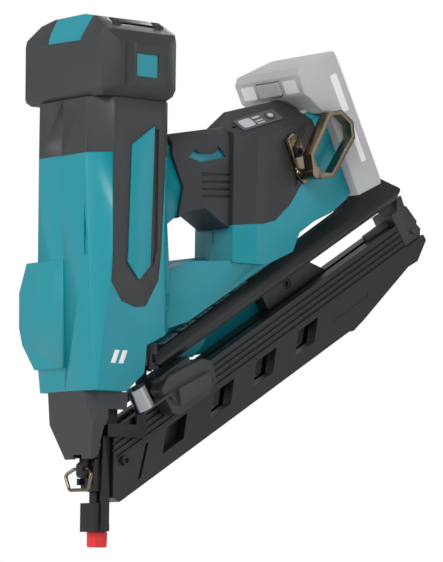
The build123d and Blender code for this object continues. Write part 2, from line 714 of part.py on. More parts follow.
with BuildPart() as shaft_bearings:
    axial(gear_front, bearing_radius, 2.4)
    axial(gear_front - 1, shaft_radius + fit_gap, 5, mode=Mode.SUBTRACT)
    axial(motor_back + 3, 6.5, 4)
    axial(motor_back + 2, 2.5 + fit_gap, 8, mode=Mode.SUBTRACT)
save(shaft_bearings, "shaft_bearings")


# ---------------------------------------------------------------- nose: guide, door, latch and bail
guide_top = head_bottom + 6
rack_slot = ((-channel_half_x, -rack_low - 0.6), (channel_half_x, rack_tip + 0.8))
rack_clear_low = rack_bottom - stroke - 3
nail_low = mag_z + 1.5
nail_high = blade_tip_rest - 2
cover_front_top = -28.5
hinge_x = -11.5
hinge_z = 63.0
hinge_radius = 1.6

with BuildPart() as driver_guide:
    block((-tube_half, tube_half), (-tube_half, tube_half), (tube_bottom, door_bottom))
    block((-2.2, tube_half), (-guide_half_y, guide_half_y), (door_bottom, door_top + 1))
    block((-6, 10), (-guide_half_y, guide_half_y), (door_top + 0.4, guide_top))
    block((-13, 11), (-11, 13), (head_bottom - 5, guide_top))
    block((-14.5, -6), (-guide_half_y, guide_half_y), (door_top + 4, head_bottom - 14))
    for ear in (-1, 1):
        block((-15, -6), (ear * 6.2 - 1.6, ear * 6.2 + 1.6), (door_top + 0.4, door_top + 6))
    # blade channel, the wider slot for the rack, and the nail entry from the magazine
    block((-channel_half_x, channel_half_x), (-channel_half_y, channel_half_y),
          (tube_bottom - 1, guide_top + 1), mode=Mode.SUBTRACT)
    block((rack_slot[0][0], rack_slot[1][0]), (rack_slot[0][1], rack_slot[1][1]),
          (rack_clear_low, guide_top + 1), mode=Mode.SUBTRACT)
    block((0, 12), (-mag_slot, mag_slot), (nail_low, nail_high), mode=Mode.SUBTRACT)
    block((-20, -1), (-channel_half_y, channel_half_y), (door_bottom, door_top), mode=Mode.SUBTRACT)
    rod((hinge_x, -12, hinge_z), (0, 1, 0), hinge_radius, 24, mode=Mode.SUBTRACT)
    block((-40, -6.2), (-4.4, 4.4), (50, 75), mode=Mode.SUBTRACT)
save(driver_guide, "driver_guide")

cover_low = 59.5
strip_y = roll_y + roll_radius + 0.3
with BuildPart() as nose_cover:
    side_prism(-40, 40, (cover_front_top, head_bottom), (-17, cover_low), (-15.5, cover_low),
               (-8, 66), (-3, 78), (3, 88), (4, head_bottom))
    prism(Plane.YZ.offset(-60), 120, (-28, head_bottom), (-28, 88), (-15.5, cover_low),
          (15.5, cover_low), (28, 88), (28, head_bottom), mode=Mode.INTERSECT)
    prism(Plane.XY.offset(cover_low - 1), 60, (-30, -19), (-20, -29), (6, -29), (6, 29), (-20, 29),
          (-30, 19), mode=Mode.INTERSECT)
    # hollow behind the front wall, clear of the guide, the latch and the contact arm
    side_prism(-guide_half_y - 0.4, guide_half_y + 0.4, (-15.6, cover_low - 1), (-15.6, 70),
               (-15.6, head_bottom + 1), (6, head_bottom + 1), (6, cover_low - 1),
               mode=Mode.SUBTRACT)
    block((-13.4, 12), (-11.4, 13.4), (head_bottom - 5.4, head_bottom + 1), mode=Mode.SUBTRACT)
    block((-13.2, 12), (-25.5, 25.5), (70, head_bottom - 8), mode=Mode.SUBTRACT)
    block((-12, 12), (-30, -7), (50, head_bottom - 12), mode=Mode.SUBTRACT)
    block((-20, -15), (-4.8, 4.8), (cover_low - 1, cover_low + 3), mode=Mode.SUBTRACT)
    # tab that anchors the roll spring's strip
    block((2, 8.5), (strip_y - 1.5, strip_y), (94, 103.5))
save(nose_cover, "nose_cover")

with BuildPart() as latch_pin:
    rod((hinge_x, -8.2, hinge_z), (0, 1, 0), hinge_radius - fit_gap, 16.4)
save(latch_pin, "latch_pin")

latch_low = 47.0
bail_low = 38.6
bail_x = -13.4
bail_z = 53.0
with BuildPart() as latch_lever:
    side_prism(-3.5, 3.5, (-16, latch_low + 2), (-14.5, latch_low), (-10.5, latch_low),
               (-10.2, 58), (-9.8, hinge_z + 2.4), (-13.4, hinge_z + 2.4), (-13.4, 58), (-16, 56))
    rod((hinge_x, -5, hinge_z), (0, 1, 0), hinge_radius, 10, mode=Mode.SUBTRACT)
    rod((bail_x, -5, bail_z), (0, 1, 0), wire_radius, 10, mode=Mode.SUBTRACT)
save(latch_lever, "latch_lever")

# the wire starts and ends in the lever, bows out past the door and crosses under its hooks
with BuildPart() as wire_bail:
    with BuildLine():
        FilletPolyline((bail_x, 0, bail_z), (bail_x, -9, bail_z), (-16.6, -15.5, 49),
                       (-15.8, -11, bail_low), (-15.8, 11, bail_low), (-16.6, 15.5, 49),
                       (bail_x, 9, bail_z), (bail_x, 0.02, bail_z), radius=3.0)
    with BuildSketch(Plane(origin=(bail_x, 0, bail_z), z_dir=(0, -1, 0))):
        Circle(wire_radius - fit_gap)
    sweep()
save(wire_bail, "wire_bail")

with BuildPart() as nose_door:
    side_prism(-guide_half_y, guide_half_y, (-2.6, door_bottom + 0.4), (-8.2, door_bottom + 0.4),
               (-9.4, door_bottom + 6), (-9.4, door_top - 3), (-8.2, door_top - 0.2),
               (-2.6, door_top - 0.2))
    for hook in (-1, 1):
        block((-13.2, -9), (hook * 5.2 - 1.3, hook * 5.2 + 1.3), (door_bottom + 4.6, door_bottom + 9))
save(nose_door, "nose_door")

# ---------------------------------------------------------------- contact foot, its tip and the depth dial
strip_y0 = -10.6
strip_y1 = -guide_half_y - slide_gap
strip_top = 84.0
leg_y0 = -16.4
leg_y1 = -14.2
bracket_low = 121.4
bracket_high = 124.2
stud_radius = 2.4
thread_radius = 1.7

with BuildPart() as contact_foot:
    # column round the fixed nose tube
    block((-9, 2.6), (-8, 8), (foot_floor, foot_column_top))
    block((-tube_half - slide_gap, 9), (-tube_half - slide_gap, tube_half + slide_gap),
          (foot_floor + 1, foot_column_top + 1), mode=Mode.SUBTRACT)
    block((-3.9, 3.9), (-3.9, 3.9), (2, foot_floor + 1))
    # strip up the side, then the leg back and up to the depth dial
    block((-4, 2.6), (strip_y0, -8), (11, 16))
    block((-4, 2.4), (strip_y0, strip_y1), (11, strip_top))
    block((-4, 2.4), (leg_y0, strip_y0 + 0.5), (strip_top - 9, strip_top))
    block((-4, dial_x + 4), (leg_y0, leg_y1), (strip_top - 9, strip_top))
    block((dial_x - 4, dial_x + 4), (leg_y0, leg_y1), (strip_top - 9, bracket_high))
    block((dial_x - 4, dial_x + 4), (dial_y - 4.5, leg_y1), (bracket_low, bracket_high))
    rod((dial_x, dial_y, bracket_low - 1), (0, 0, 1), thread_radius + slide_gap, 10,
        mode=Mode.SUBTRACT)
    rod((0, 0, -1), (0, 0, 1), exit_radius, 14, mode=Mode.SUBTRACT)
save(contact_foot, "contact_foot")

with BuildPart() as no_mar_tip:
    side_prism(-5.2, 5.2, (-4.6, 0), (4.0, 0), (4.6, 1), (5.1, foot_floor), (-5.4, foot_floor),
               (-5.2, 1))
    block((-3.9, 3.9), (-3.9, 3.9), (2, 12), mode=Mode.SUBTRACT)
    rod((0, 0, -1), (0, 0, 1), exit_radius, 4, mode=Mode.SUBTRACT)
save(no_mar_tip, "no_mar_tip")

with BuildPart() as depth_dial:
    with BuildSketch(Plane.XY.offset(dial_low), mode=Mode.PRIVATE) as knob:
        Circle(5.0)
        with PolarLocations(5.2, 14):
            Circle(0.55, mode=Mode.SUBTRACT)
    with Locations((dial_x, dial_y, 0)):
        add(extrude(knob.sketch, amount=dial_high - dial_low, mode=Mode.PRIVATE))
    rod((dial_x, dial_y, dial_low - 0.6), (0, 0, 1), stud_radius, 1)
    rod((dial_x, dial_y, bracket_low - 1.2), (0, 0, 1), thread_radius, dial_low - bracket_low + 1.2)
    rod((dial_x, dial_y, dial_high), (0, 0, 1), journal_radius, 13)
save(depth_dial, "depth_dial")

# ---------------------------------------------------------------- magazine
with BuildPart() as mag_outer:
    mag_prism(-mag_half_width, mag_half_width, (6.5, 0), (243, 0), (247, -1.5), (259, 0.5),
              (mag_length - 19, 13), (mag_length - 9, 12.4), (mag_length + 6, 21.5),
              (mag_length + 6, 30), (mag_length, mag_height), (7, mag_height),
              (2, 38), (-2, 14))
channel_floor = 3.0
with BuildPart() as mag_cuts:
    mag_prism(-mag_slot, mag_slot, *rect(-20, mag_length - 5, channel_floor, 60))
    for start in window_starts:
        mag_prism(-30, 30, (start, window_low), (start + window_length, window_low),
                  (start + window_length + 12, window_high), (start + 12, window_high))
    mag_prism(-30, -mag_half_width + 2, (27.5, 5), (30.5, 5), (49, 22.5), (46, 22.5))

with BuildPart() as mag_solid:
    add(mag_outer.part)
    add(mag_cuts.part, mode=Mode.SUBTRACT)
    for side in (-1, 1):
        for groove_v in (28.0, 32.0, 36.0, 40.0):
            y_low = mag_half_width - 1.4 if side > 0 else -mag_half_width - 3
            mag_prism(y_low, y_low + 4.4, *rect(20, mag_length - 1, groove_v - 0.9, groove_v + 0.9),
                      mode=Mode.SUBTRACT)
    frame_screw_holes()
    # clear of the nose
    block((-30, tube_half), (-20, 20), (0, 100), mode=Mode.SUBTRACT)
    block((-30, 10.4), (-guide_half_y - 0.3, guide_half_y + 0.3), (door_top, 130),
          mode=Mode.SUBTRACT)
rail_v = 26.0
rail_end = mag_length - 13
for side in ("left", "right"):
    low, high = (-30, 0) if side == "left" else (0, 30)
    with BuildPart() as plate:
        add(mag_solid.part)
        mag_prism(low, high, *rect(-40, 400, -40, rail_v), mode=Mode.INTERSECT)
    save(plate, f"magazine_side_{side}")
    with BuildPart() as rail:
        add(mag_solid.part)
        mag_prism(low, high, *rect(-40, rail_end, rail_v, 80), mode=Mode.INTERSECT)
    save(rail, f"magazine_rail_{side}")

with BuildPart() as magazine_tail:
    # end block closing the channel, and the link up to the arm
    mag_prism(-mag_half_width + 1, mag_half_width - 1, (rail_end + 0.2, rail_v + 0.2),
              (mag_length + 3, rail_v + 0.2), (mag_length + 6.5, 31), (mag_length + 1, 47),
              (mag_length + 3, arm_low), (mag_length - 2, arm_low), (mag_length - 6, 52),
              (rail_end + 0.2, 52))
    mag_prism(-mag_slot + 0.3, mag_slot - 0.3, *rect(300, 323, rail_v + 6, 48))
    for side in (-1, 1):
        y_low = 2.6 if side > 0 else -7.6
        mag_prism(y_low, y_low + 5, (323, 44), (341, 33), (344, 36), (341, 50), (332, 56))
    with Locations(Location(mag_point(334, 0, 33), (90, 0, 0))):
        Cylinder(2.2, 2 * mag_half_width + 1.5)
save(magazine_tail, "magazine_tail")

# ---------------------------------------------------------------- top arm with its bracket and label
arm_y0 = -16.0
arm_y1 = -0.2
head_start = arm_end - 46
with BuildPart() as magazine_arm:
    mag_prism(arm_y0, arm_y1, (arm_start - 4, arm_low + 6), (arm_start + 2, arm_low),
              (arm_end, arm_low),
              (arm_end + 7, arm_low + 6), (arm_end - 2, arm_high + 7), (arm_end - 14, arm_high + 11),
              (head_start + 13, arm_high + 9), (head_start, arm_high + 2.5), (arm_start + 60, arm_high),
              (arm_start - 2, arm_high - 1.5))
    # upper and lower faces lean away from a ridge along the near side
    prism(Plane(origin=mag_point(0, 0, 0), x_dir=(0, 1, 0),
                z_dir=(cos(radians(magazine_angle)), 0, sin(radians(magazine_angle)))), 400,
          (arm_y0, arm_low + 4.5), (arm_y0 + 3.5, arm_low - 1), (arm_y1 + 1, arm_low - 1),
          (arm_y1 + 1, arm_high + 14), (arm_y0 + 12, arm_high + 14), (arm_y0 + 1.2, arm_low + 9),
          mode=Mode.INTERSECT)
    # groove for the nail heads
    mag_prism(-2.8, 1, *rect(arm_start - 10, arm_end - 4, arm_low - 2, arm_low + 3.4), mode=Mode.SUBTRACT)
save(magazine_arm, "magazine_arm")

# bracket on the far side: rail, arm and housing are tied together here
with BuildPart() as arm_bracket:
    mag_prism(mag_slot + 0.6, 13.6, (198, mag_height), (258, mag_height), (243, 62), (198, 62))
    mag_prism(arm_y1, 13.6, (198, 62), (243, 62), (216, arm_high + 5), (199, arm_high + 5))
    rod(mag_point(222.3, 3, 52), (0, 1, 0), screw_head_radius + 0.3, 3.4, mode=Mode.SUBTRACT)
    frame_screw_holes()
save(arm_bracket, "arm_bracket")

# ---------------------------------------------------------------- pusher, its roll spring and strip
pusher_end = pusher_start + pusher_length
roll_low = roll_v - roll_length / 2
axle_radius = 2.0
with BuildPart() as pusher:
    mag_prism(-26, -mag_half_width - slide_gap, (pusher_start, 34), (pusher_start + 4, 30),
              (pusher_end - 14, 29), (pusher_end - 4, 33), (pusher_end, 47), (pusher_end - 6, 53),
              (pusher_start + 10, 57), (pusher_start, 52))
    mag_prism(-20, -2, *rect(74, 104, mag_height + 0.6, arm_low - 1.6))
    mag_prism(slide_gap - mag_slot, mag_slot - slide_gap, (9, 8), (100, 8), (107, 16), (107, 46),
              (33, 46))
    mag_prism(slide_gap - mag_slot, 0.6, (107, 44), (107, arm_low - 1.6), (72, arm_low - 1.6),
              (62, 44))
    mag_prism(-29, -19, *rect(45, 72, roll_low - 2, roll_low - 0.4))
    with BuildSketch(mag_frame(roll_u, roll_y, roll_low - 1), mode=Mode.PRIVATE) as axle:
        Circle(axle_radius)
    extrude(axle.sketch, amount=roll_length + 1.8)
    # thumb pad
    mag_prism(-31, -26, (74, 36), (104, 34), (108, 44), (78, 47))
save(pusher, "pusher")

with BuildPart() as spring_roll:
    with BuildSketch(mag_frame(roll_u, roll_y, roll_low), mode=Mode.PRIVATE) as coil:
        Circle(roll_radius)
        Circle(axle_radius + fit_gap, mode=Mode.SUBTRACT)
    extrude(coil.sketch, amount=roll_length)
save(spring_roll, "spring_roll")

with BuildPart() as spring_strip:
    mag_prism(strip_y, strip_y + 0.3, *rect(30, roll_u, roll_low + 8, roll_low + 14.6))
    block((-60, 4.4), (-60, 60), (0, 200), mode=Mode.SUBTRACT)
save(spring_strip, "spring_strip")

# ---------------------------------------------------------------- trigger and its switch
with BuildPart() as trigger:
    side_prism(-trigger_half_width, trigger_half_width, (43, 246), (48, 247.6), (70, 246.6),
               (70, 243.6), (60.8, 243.5), (60.2, 237), (53.5, 231), (51, 224), (50.6, 215),
               (48, 208.5), (44.5, 209.5), (42.6, 220), (41.5, 232))
    rod((trigger_x, -9.5, trigger_z), (0, 1, 0), journal_radius, 19)
save(trigger, "trigger")

with BuildPart() as trigger_switch:
    block((66, 92), (-7.5, 7.5), (253, 270))
    rod((68.5, 0, 251), (0, 0, 1), 1.8, 3)
    block((70, 90), (-9, 9), (262, 266))
save(trigger_switch, "trigger_switch")

# ---------------------------------------------------------------- soft grip over the handle
with BuildPart() as grip_form:
    side_prism(-handle_half_width - grip_thickness, handle_half_width + grip_thickness,
               (46, 286.5), (88, 294.5), (96, 296), (96, 224), (75, 236.5), (61, 233), (52, 228),
               (56, 250), (46, 272))
    chamfer(grip_form.edges().filter_by(lambda e: abs(e.center().Y) > handle_half_width + 2
                                        and e.center().Z > 288 and e.length > 20), 7)
    add(handle_form.part, mode=Mode.SUBTRACT)
    add(trigger_slot.part, mode=Mode.SUBTRACT)
    # window over the handle's own colour, and the finger grooves
    for side in (-1, 1):
        y_low = handle_half_width if side > 0 else -60.0
        side_prism(y_low, y_low + 45, (60, 271), (66, 277), (70, 274.5), (84, 276), (86, 281),
                   (93.5, 274), (72, 268.5), mode=Mode.SUBTRACT)
        groove_y = handle_half_width + grip_thickness - 0.8 if side > 0 else -60.0
        for groove_z in (244.5, 249.5, 254.5, 259.5):
            side_prism(groove_y, groove_y + 42.8 if side < 0 else 60,
                       (72, groove_z), (96, groove_z + 1), (96, groove_z + 2.2), (72, groove_z + 1.2),
                       mode=Mode.SUBTRACT)
for side in ("left", "right"):
    half = half_of(grip_form.part, side)
    with BuildPart() as grip:
        add(half)
    save(grip, f"grip_{side}")

# ---------------------------------------------------------------- mode panel, button and controller
with BuildPart() as status_panel:
    with BuildSketch(panel_plane, mode=Mode.PRIVATE) as panel:
        RectangleRounded(37, 13, 1.5)
        with Locations((11, 0)):
            Circle(button_radius + slide_gap, mode=Mode.SUBTRACT)
    extrude(panel.sketch, amount=cover_step)
save(status_panel, "status_panel")

with BuildPart() as mode_button:
    with BuildSketch(panel_plane.offset(-1.7), mode=Mode.PRIVATE) as cap:
        with Locations((11, 0)):
            Circle(button_radius)
    extrude(cap.sketch, amount=3.3)
save(mode_button, "mode_button")

with BuildPart() as controller_board:
    block((101, 140), (-17, 17), (262, 263.6))
    block((105, 117), (-13, -2), (263.6, 272))
    block((124, 137), (1, 13), (263.6, 270))
    rod((130, -9, 263.6), (0, 0, 1), 4.5, 12)
    rod((112, 8, 263.6), (0, 0, 1), 3.5, 10)
save(controller_board, "controller_board")

# ---------------------------------------------------------------- battery pack
pack_wall = 2.6
cell_radius = 9.1
with BuildPart() as pack_form:
    pack_prism(-pack_half_width, pack_half_width, (0, pack_low), (pack_depth - 5, pack_low),
               (pack_depth, pack_low + 5), (pack_depth, pack_high - 6), (pack_depth - 5, pack_high),
               (4 - pack_block_depth, pack_high), (-pack_block_depth, pack_high - 4),
               (-pack_block_depth, 31.5), (-11.5, 27.5), (-7.5, 19.5), (-4.5, 14.6), (0, 13))
    chamfer(pack_form.edges().filter_by(lambda e: abs(e.center().Y) > pack_half_width - 1
                                        and e.length > 80), 7)
button_low = 34.0
button_high = 44.0
button_half_width = 12.0
with BuildPart() as battery_pack:
    add(pack_form.part)
    pack_prism(-rail_half_width, rail_half_width,
               *rect(-rail_depth, -rail_depth / 2 - rail_gap, rail_low, 19.5))
    pack_prism(lip_width - rail_half_width, rail_half_width - lip_width,
               *rect(-rail_depth, 1, rail_low, 19.5))
    pack_prism(pack_wall - pack_half_width, pack_half_width - pack_wall,
               *rect(pack_wall, pack_depth - pack_wall - 5, pack_low + pack_wall, pack_high - pack_wall),
               mode=Mode.SUBTRACT)
    pack_prism(-button_half_width - slide_gap, button_half_width + slide_gap,
               *rect(-pack_block_depth - 1, -pack_block_depth + 3.6, button_low - slide_gap,
                     button_high + slide_gap), mode=Mode.SUBTRACT)
save(battery_pack, "battery_pack")

with BuildPart() as battery_cells:
    for cell in range(5):
        cell_n = pack_wall + cell_radius
        cell_h = (cell - 2) * (2 * cell_radius + 0.8)
        a = radians(battery_angle)
        rod((pack_x + cell_n * cos(a) - cell_h * sin(a), -32.5,
             pack_z + cell_n * sin(a) + cell_h * cos(a)), (0, 1, 0), cell_radius, 65)
save(battery_cells, "battery_cells")

with BuildPart() as battery_button:
    pack_prism(-button_half_width, button_half_width,
               *rect(-pack_block_depth - 1.2, -pack_block_depth + 1.6, button_low, button_high))
save(battery_button, "battery_button")

# ---------------------------------------------------------------- belt hook and its bracket
bracket_y = -base_half_width - 2.5
hook_y1 = -pack_half_width - 1.5
hook_y0 = hook_y1 - 9.5
hook_plane = Plane(origin=(163, hook_y1, 285), x_dir=(0.515, 0, 0.857), z_dir=(0, -1, 0))
with BuildPart() as hook_bracket:
    side_prism(bracket_y, -base_half_width, (135, 288), (146, 263), (152, 258.5), (157, 262),
               (158.5, 268), (147, 292), (140, 293.5))
    side_prism(bracket_y - 2, bracket_y, (135, 288), (143.2, 269.4),
               (144.4, 270), (136.2, 288.6))
    rod((hook_pivot_x, bracket_y, hook_pivot_z), (0, -1, 0), 2.2, 10)
    frame_screw_holes()
save(hook_bracket, "hook_bracket")

with BuildPart() as belt_hook:
    prism(hook_plane, hook_y1 - hook_y0, (-25, -5), (-18, -13.5), (17, -14.5), (26, -7), (27, 6),
          (19, 14.5), (-16, 12), (-25, 4))
    prism(hook_plane, hook_y1 - hook_y0, (-20.5, -3.5), (-16.5, -10.3), (16, -11.3), (22.9, -5.6),
          (23.8, 4.8), (18, 11.2), (-14.8, 9), (-20.5, 2.5), mode=Mode.SUBTRACT)
    rod((hook_pivot_x, hook_y0, hook_pivot_z), (0, 1, 0), 4.2, bracket_y - hook_y0)
    rod((hook_pivot_x, bracket_y - 10.5, hook_pivot_z), (0, 1, 0), 2.2 + fit_gap, 12,
        mode=Mode.SUBTRACT)
save(belt_hook, "belt_hook")
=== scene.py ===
"""Looks of the cordless angled finish nailer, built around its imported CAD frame.

Metres. +Z runs up the driver's axis, +X back to the battery, +Y to the tool's right-hand side.
Each sub-assembly is a class that dresses its CAD nodes and adds the pieces CAD keeps plain.
"""
import logging
import math
from dataclasses import dataclass, field
from enum import Enum
from typing import Optional

import bpy
import numpy as np
from mathutils import Matrix, Vector


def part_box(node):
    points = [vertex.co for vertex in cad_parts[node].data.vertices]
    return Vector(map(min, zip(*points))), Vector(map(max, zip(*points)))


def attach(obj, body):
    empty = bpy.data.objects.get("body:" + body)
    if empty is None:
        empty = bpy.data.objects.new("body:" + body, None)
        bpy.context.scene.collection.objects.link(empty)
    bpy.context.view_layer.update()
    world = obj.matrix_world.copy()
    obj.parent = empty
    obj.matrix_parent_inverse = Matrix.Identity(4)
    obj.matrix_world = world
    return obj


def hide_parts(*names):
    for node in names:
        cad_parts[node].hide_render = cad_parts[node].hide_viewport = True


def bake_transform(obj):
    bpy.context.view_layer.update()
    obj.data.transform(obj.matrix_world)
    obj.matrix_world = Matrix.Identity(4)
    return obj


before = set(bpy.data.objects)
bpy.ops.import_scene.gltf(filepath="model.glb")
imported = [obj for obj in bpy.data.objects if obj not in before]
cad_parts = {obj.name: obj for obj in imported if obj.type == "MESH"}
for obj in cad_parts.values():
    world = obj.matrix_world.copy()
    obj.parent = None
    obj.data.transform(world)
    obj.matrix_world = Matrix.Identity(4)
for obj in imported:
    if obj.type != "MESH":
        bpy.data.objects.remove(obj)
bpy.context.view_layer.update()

LOG = logging.getLogger("nailer")
MM = 0.001
WELD = 1e-6                        # corners closer than this are one corner, metres
MAGAZINE_ANGLE = math.radians(32.5)
MAGAZINE_ORIGIN = np.array((4.3, 0.0, 27.5)) * MM
PACK_ANGLE = math.radians(26.0)
PACK_ORIGIN = np.array((174.8, 0.0, 298.7)) * MM
DRIFT_MM = 1000.0 / 28.0           # spacing of the slow drift in colour and roughness
DEEPEST = 0.9                      # how far the drift darkens a colour
BUMP_STRENGTH = 0.6
SHARP_DEG = 32.0                   # CAD edges steeper than this are shaded sharp
PROUD = 0.12                       # how far a printed mark stands off its surface, mm


# ------------------------------------------------------------------ finishes
class Grain(Enum):
    """The surface texture a process leaves."""

    SPARK = "spark-eroded mould texture"
    SOFT = "soft-touch pebble"
    BRUSHED = "drawn or ground lines"
    CAST = "shot-blasted or phosphated"
    SMOOTH = "polished mould or plating"


@dataclass(frozen=True)
class Finish:
    """One real material and how its surface was made.

    Attributes:
        name: Material name.
        colour: sRGB hex colour.
        roughness: Mean roughness.
        metallic: 1 for bare metal.
        grain: The process texture.
        grain_mm: Spacing of the texture.
        depth_mm: Height of the texture.
        mottle: How much roughness drifts over the piece.
        edge_mm: Radius the light finds on edges.
        coat: Clear coat weight.
    """

    name: str
    colour: str
    roughness: float
    metallic: float = 0.0
    grain: Grain = Grain.SMOOTH
    grain_mm: float = 0.6
    depth_mm: float = 0.01
    mottle: float = 0.04
    edge_mm: float = 0.5
    coat: float = 0.0


# Glass-filled nylon, moulded in a spark-eroded tool
TEAL = Finish("teal_nylon_moulded", "#048A98", 0.34, grain=Grain.SPARK, grain_mm=0.45, depth_mm=0.012,
              edge_mm=0.9)
BLACK = Finish("black_nylon_moulded", "#2E2F31", 0.42, grain=Grain.SPARK, grain_mm=0.5, depth_mm=0.02,
               edge_mm=0.8)
CAP_BLACK = Finish("black_nylon_cap", "#2F3032", 0.5, grain=Grain.SPARK, grain_mm=0.6, depth_mm=0.03,
                   edge_mm=1.4)
# Thermoplastic elastomer, overmoulded
RUBBER = Finish("charcoal_elastomer", "#333438", 0.6, grain=Grain.SOFT, grain_mm=0.9, depth_mm=0.05,
                edge_mm=1.0)
RED_RUBBER = Finish("red_elastomer_tip", "#E0242C", 0.45, grain=Grain.SOFT, grain_mm=0.8,
                    depth_mm=0.02, edge_mm=0.5)
# Aluminium extrusion, black anodised
ANODISED = Finish("black_anodised_extrusion", "#26272A", 0.36, metallic=0.35, grain=Grain.BRUSHED,
                  grain_mm=0.5, depth_mm=0.006, edge_mm=0.35)
# Steel, phosphated and oiled
PHOSPHATE = Finish("phosphated_steel", "#2E2E31", 0.42, metallic=0.6, grain=Grain.CAST, grain_mm=0.4,
                   depth_mm=0.01, edge_mm=0.35)
STEEL = Finish("ground_steel", "#A9ABAE", 0.28, metallic=1.0, grain=Grain.BRUSHED, grain_mm=0.3,
               depth_mm=0.003, edge_mm=0.3)
BRONZE = Finish("black_chrome_plated_steel", "#7F7364", 0.24, metallic=1.0, grain=Grain.SMOOTH,
                grain_mm=1.5, depth_mm=0.004, edge_mm=0.5)
ALUMINIUM = Finish("machined_aluminium", "#BEC1C4", 0.34, metallic=1.0, grain=Grain.BRUSHED,
                   grain_mm=0.4, depth_mm=0.004)
COPPER = Finish("enamelled_copper", "#B4693A", 0.3, metallic=1.0, grain=Grain.BRUSHED, grain_mm=0.6,
                depth_mm=0.05)
SEAL = Finish("nitrile_seal", "#141414", 0.55, grain=Grain.SMOOTH)
PACK_GREY = Finish("pale_grey_abs_moulded", "#B9B9BC", 0.42, grain=Grain.SPARK, grain_mm=0.5,
                   depth_mm=0.012, edge_mm=1.2)
PACK_WHITE = Finish("white_pad_print", "#EFEFF0", 0.4, grain=Grain.SMOOTH)
PANEL = Finish("printed_membrane", "#4C4E52", 0.3, grain=Grain.SMOOTH, coat=0.3)
PANEL_LIGHT = Finish("membrane_print_pale", "#B9BDC1", 0.35, grain=Grain.SMOOTH)
BOARD = Finish("potted_circuit_board", "#20513A", 0.3, grain=Grain.SMOOTH, coat=0.4)
CELL = Finish("shrink_wrapped_cell", "#2F6AA0", 0.35, grain=Grain.SMOOTH)
LABEL_WHITE = Finish("label_film_white", "#E9EBEA", 0.35, grain=Grain.SMOOTH)
LABEL_RED = Finish("label_film_red", "#C8252B", 0.35, grain=Grain.SMOOTH)
LABEL_GREEN = Finish("label_film_green", "#5E8F4A", 0.35, grain=Grain.SMOOTH)
LABEL_BLACK = Finish("label_film_black", "#1C1C1E", 0.35, grain=Grain.SMOOTH)
FLOOR = Finish("pale_studio_floor", "#EDEEEF", 0.75, grain=Grain.SMOOTH, edge_mm=0.0)


def linear(hex_colour: str) -> tuple[float, float, float, float]:
    """Turns an sRGB hex colour into linear RGBA.

    Args:
        hex_colour: Such as "#0C97A6".

    Returns:
        Linear red, green, blue and an alpha of 1.
    """
    values = [int(hex_colour[i:i + 2], 16) / 255 for i in (1, 3, 5)]
    return tuple(v / 12.92 if v <= 0.04045 else ((v + 0.055) / 1.055) ** 2.4 for v in values) + (1.0,)


def add_node(tree: bpy.types.NodeTree, kind: str, inputs: Optional[dict] = None,
             **props) -> bpy.types.Node:
    """Adds one shader node.

    Args:
        tree: The material's node tree.
        kind: Node type.
        inputs: Socket name to a value, or to a socket that feeds it.
        **props: Node properties.

    Returns:
        The node.
    """
    node = tree.nodes.new(kind)
    for key, value in props.items():
        setattr(node, key, value)
    for key, value in (inputs or {}).items():
        if isinstance(value, bpy.types.NodeSocket):
            tree.links.new(value, node.inputs[key])
        else:
            node.inputs[key].default_value = value
    return node


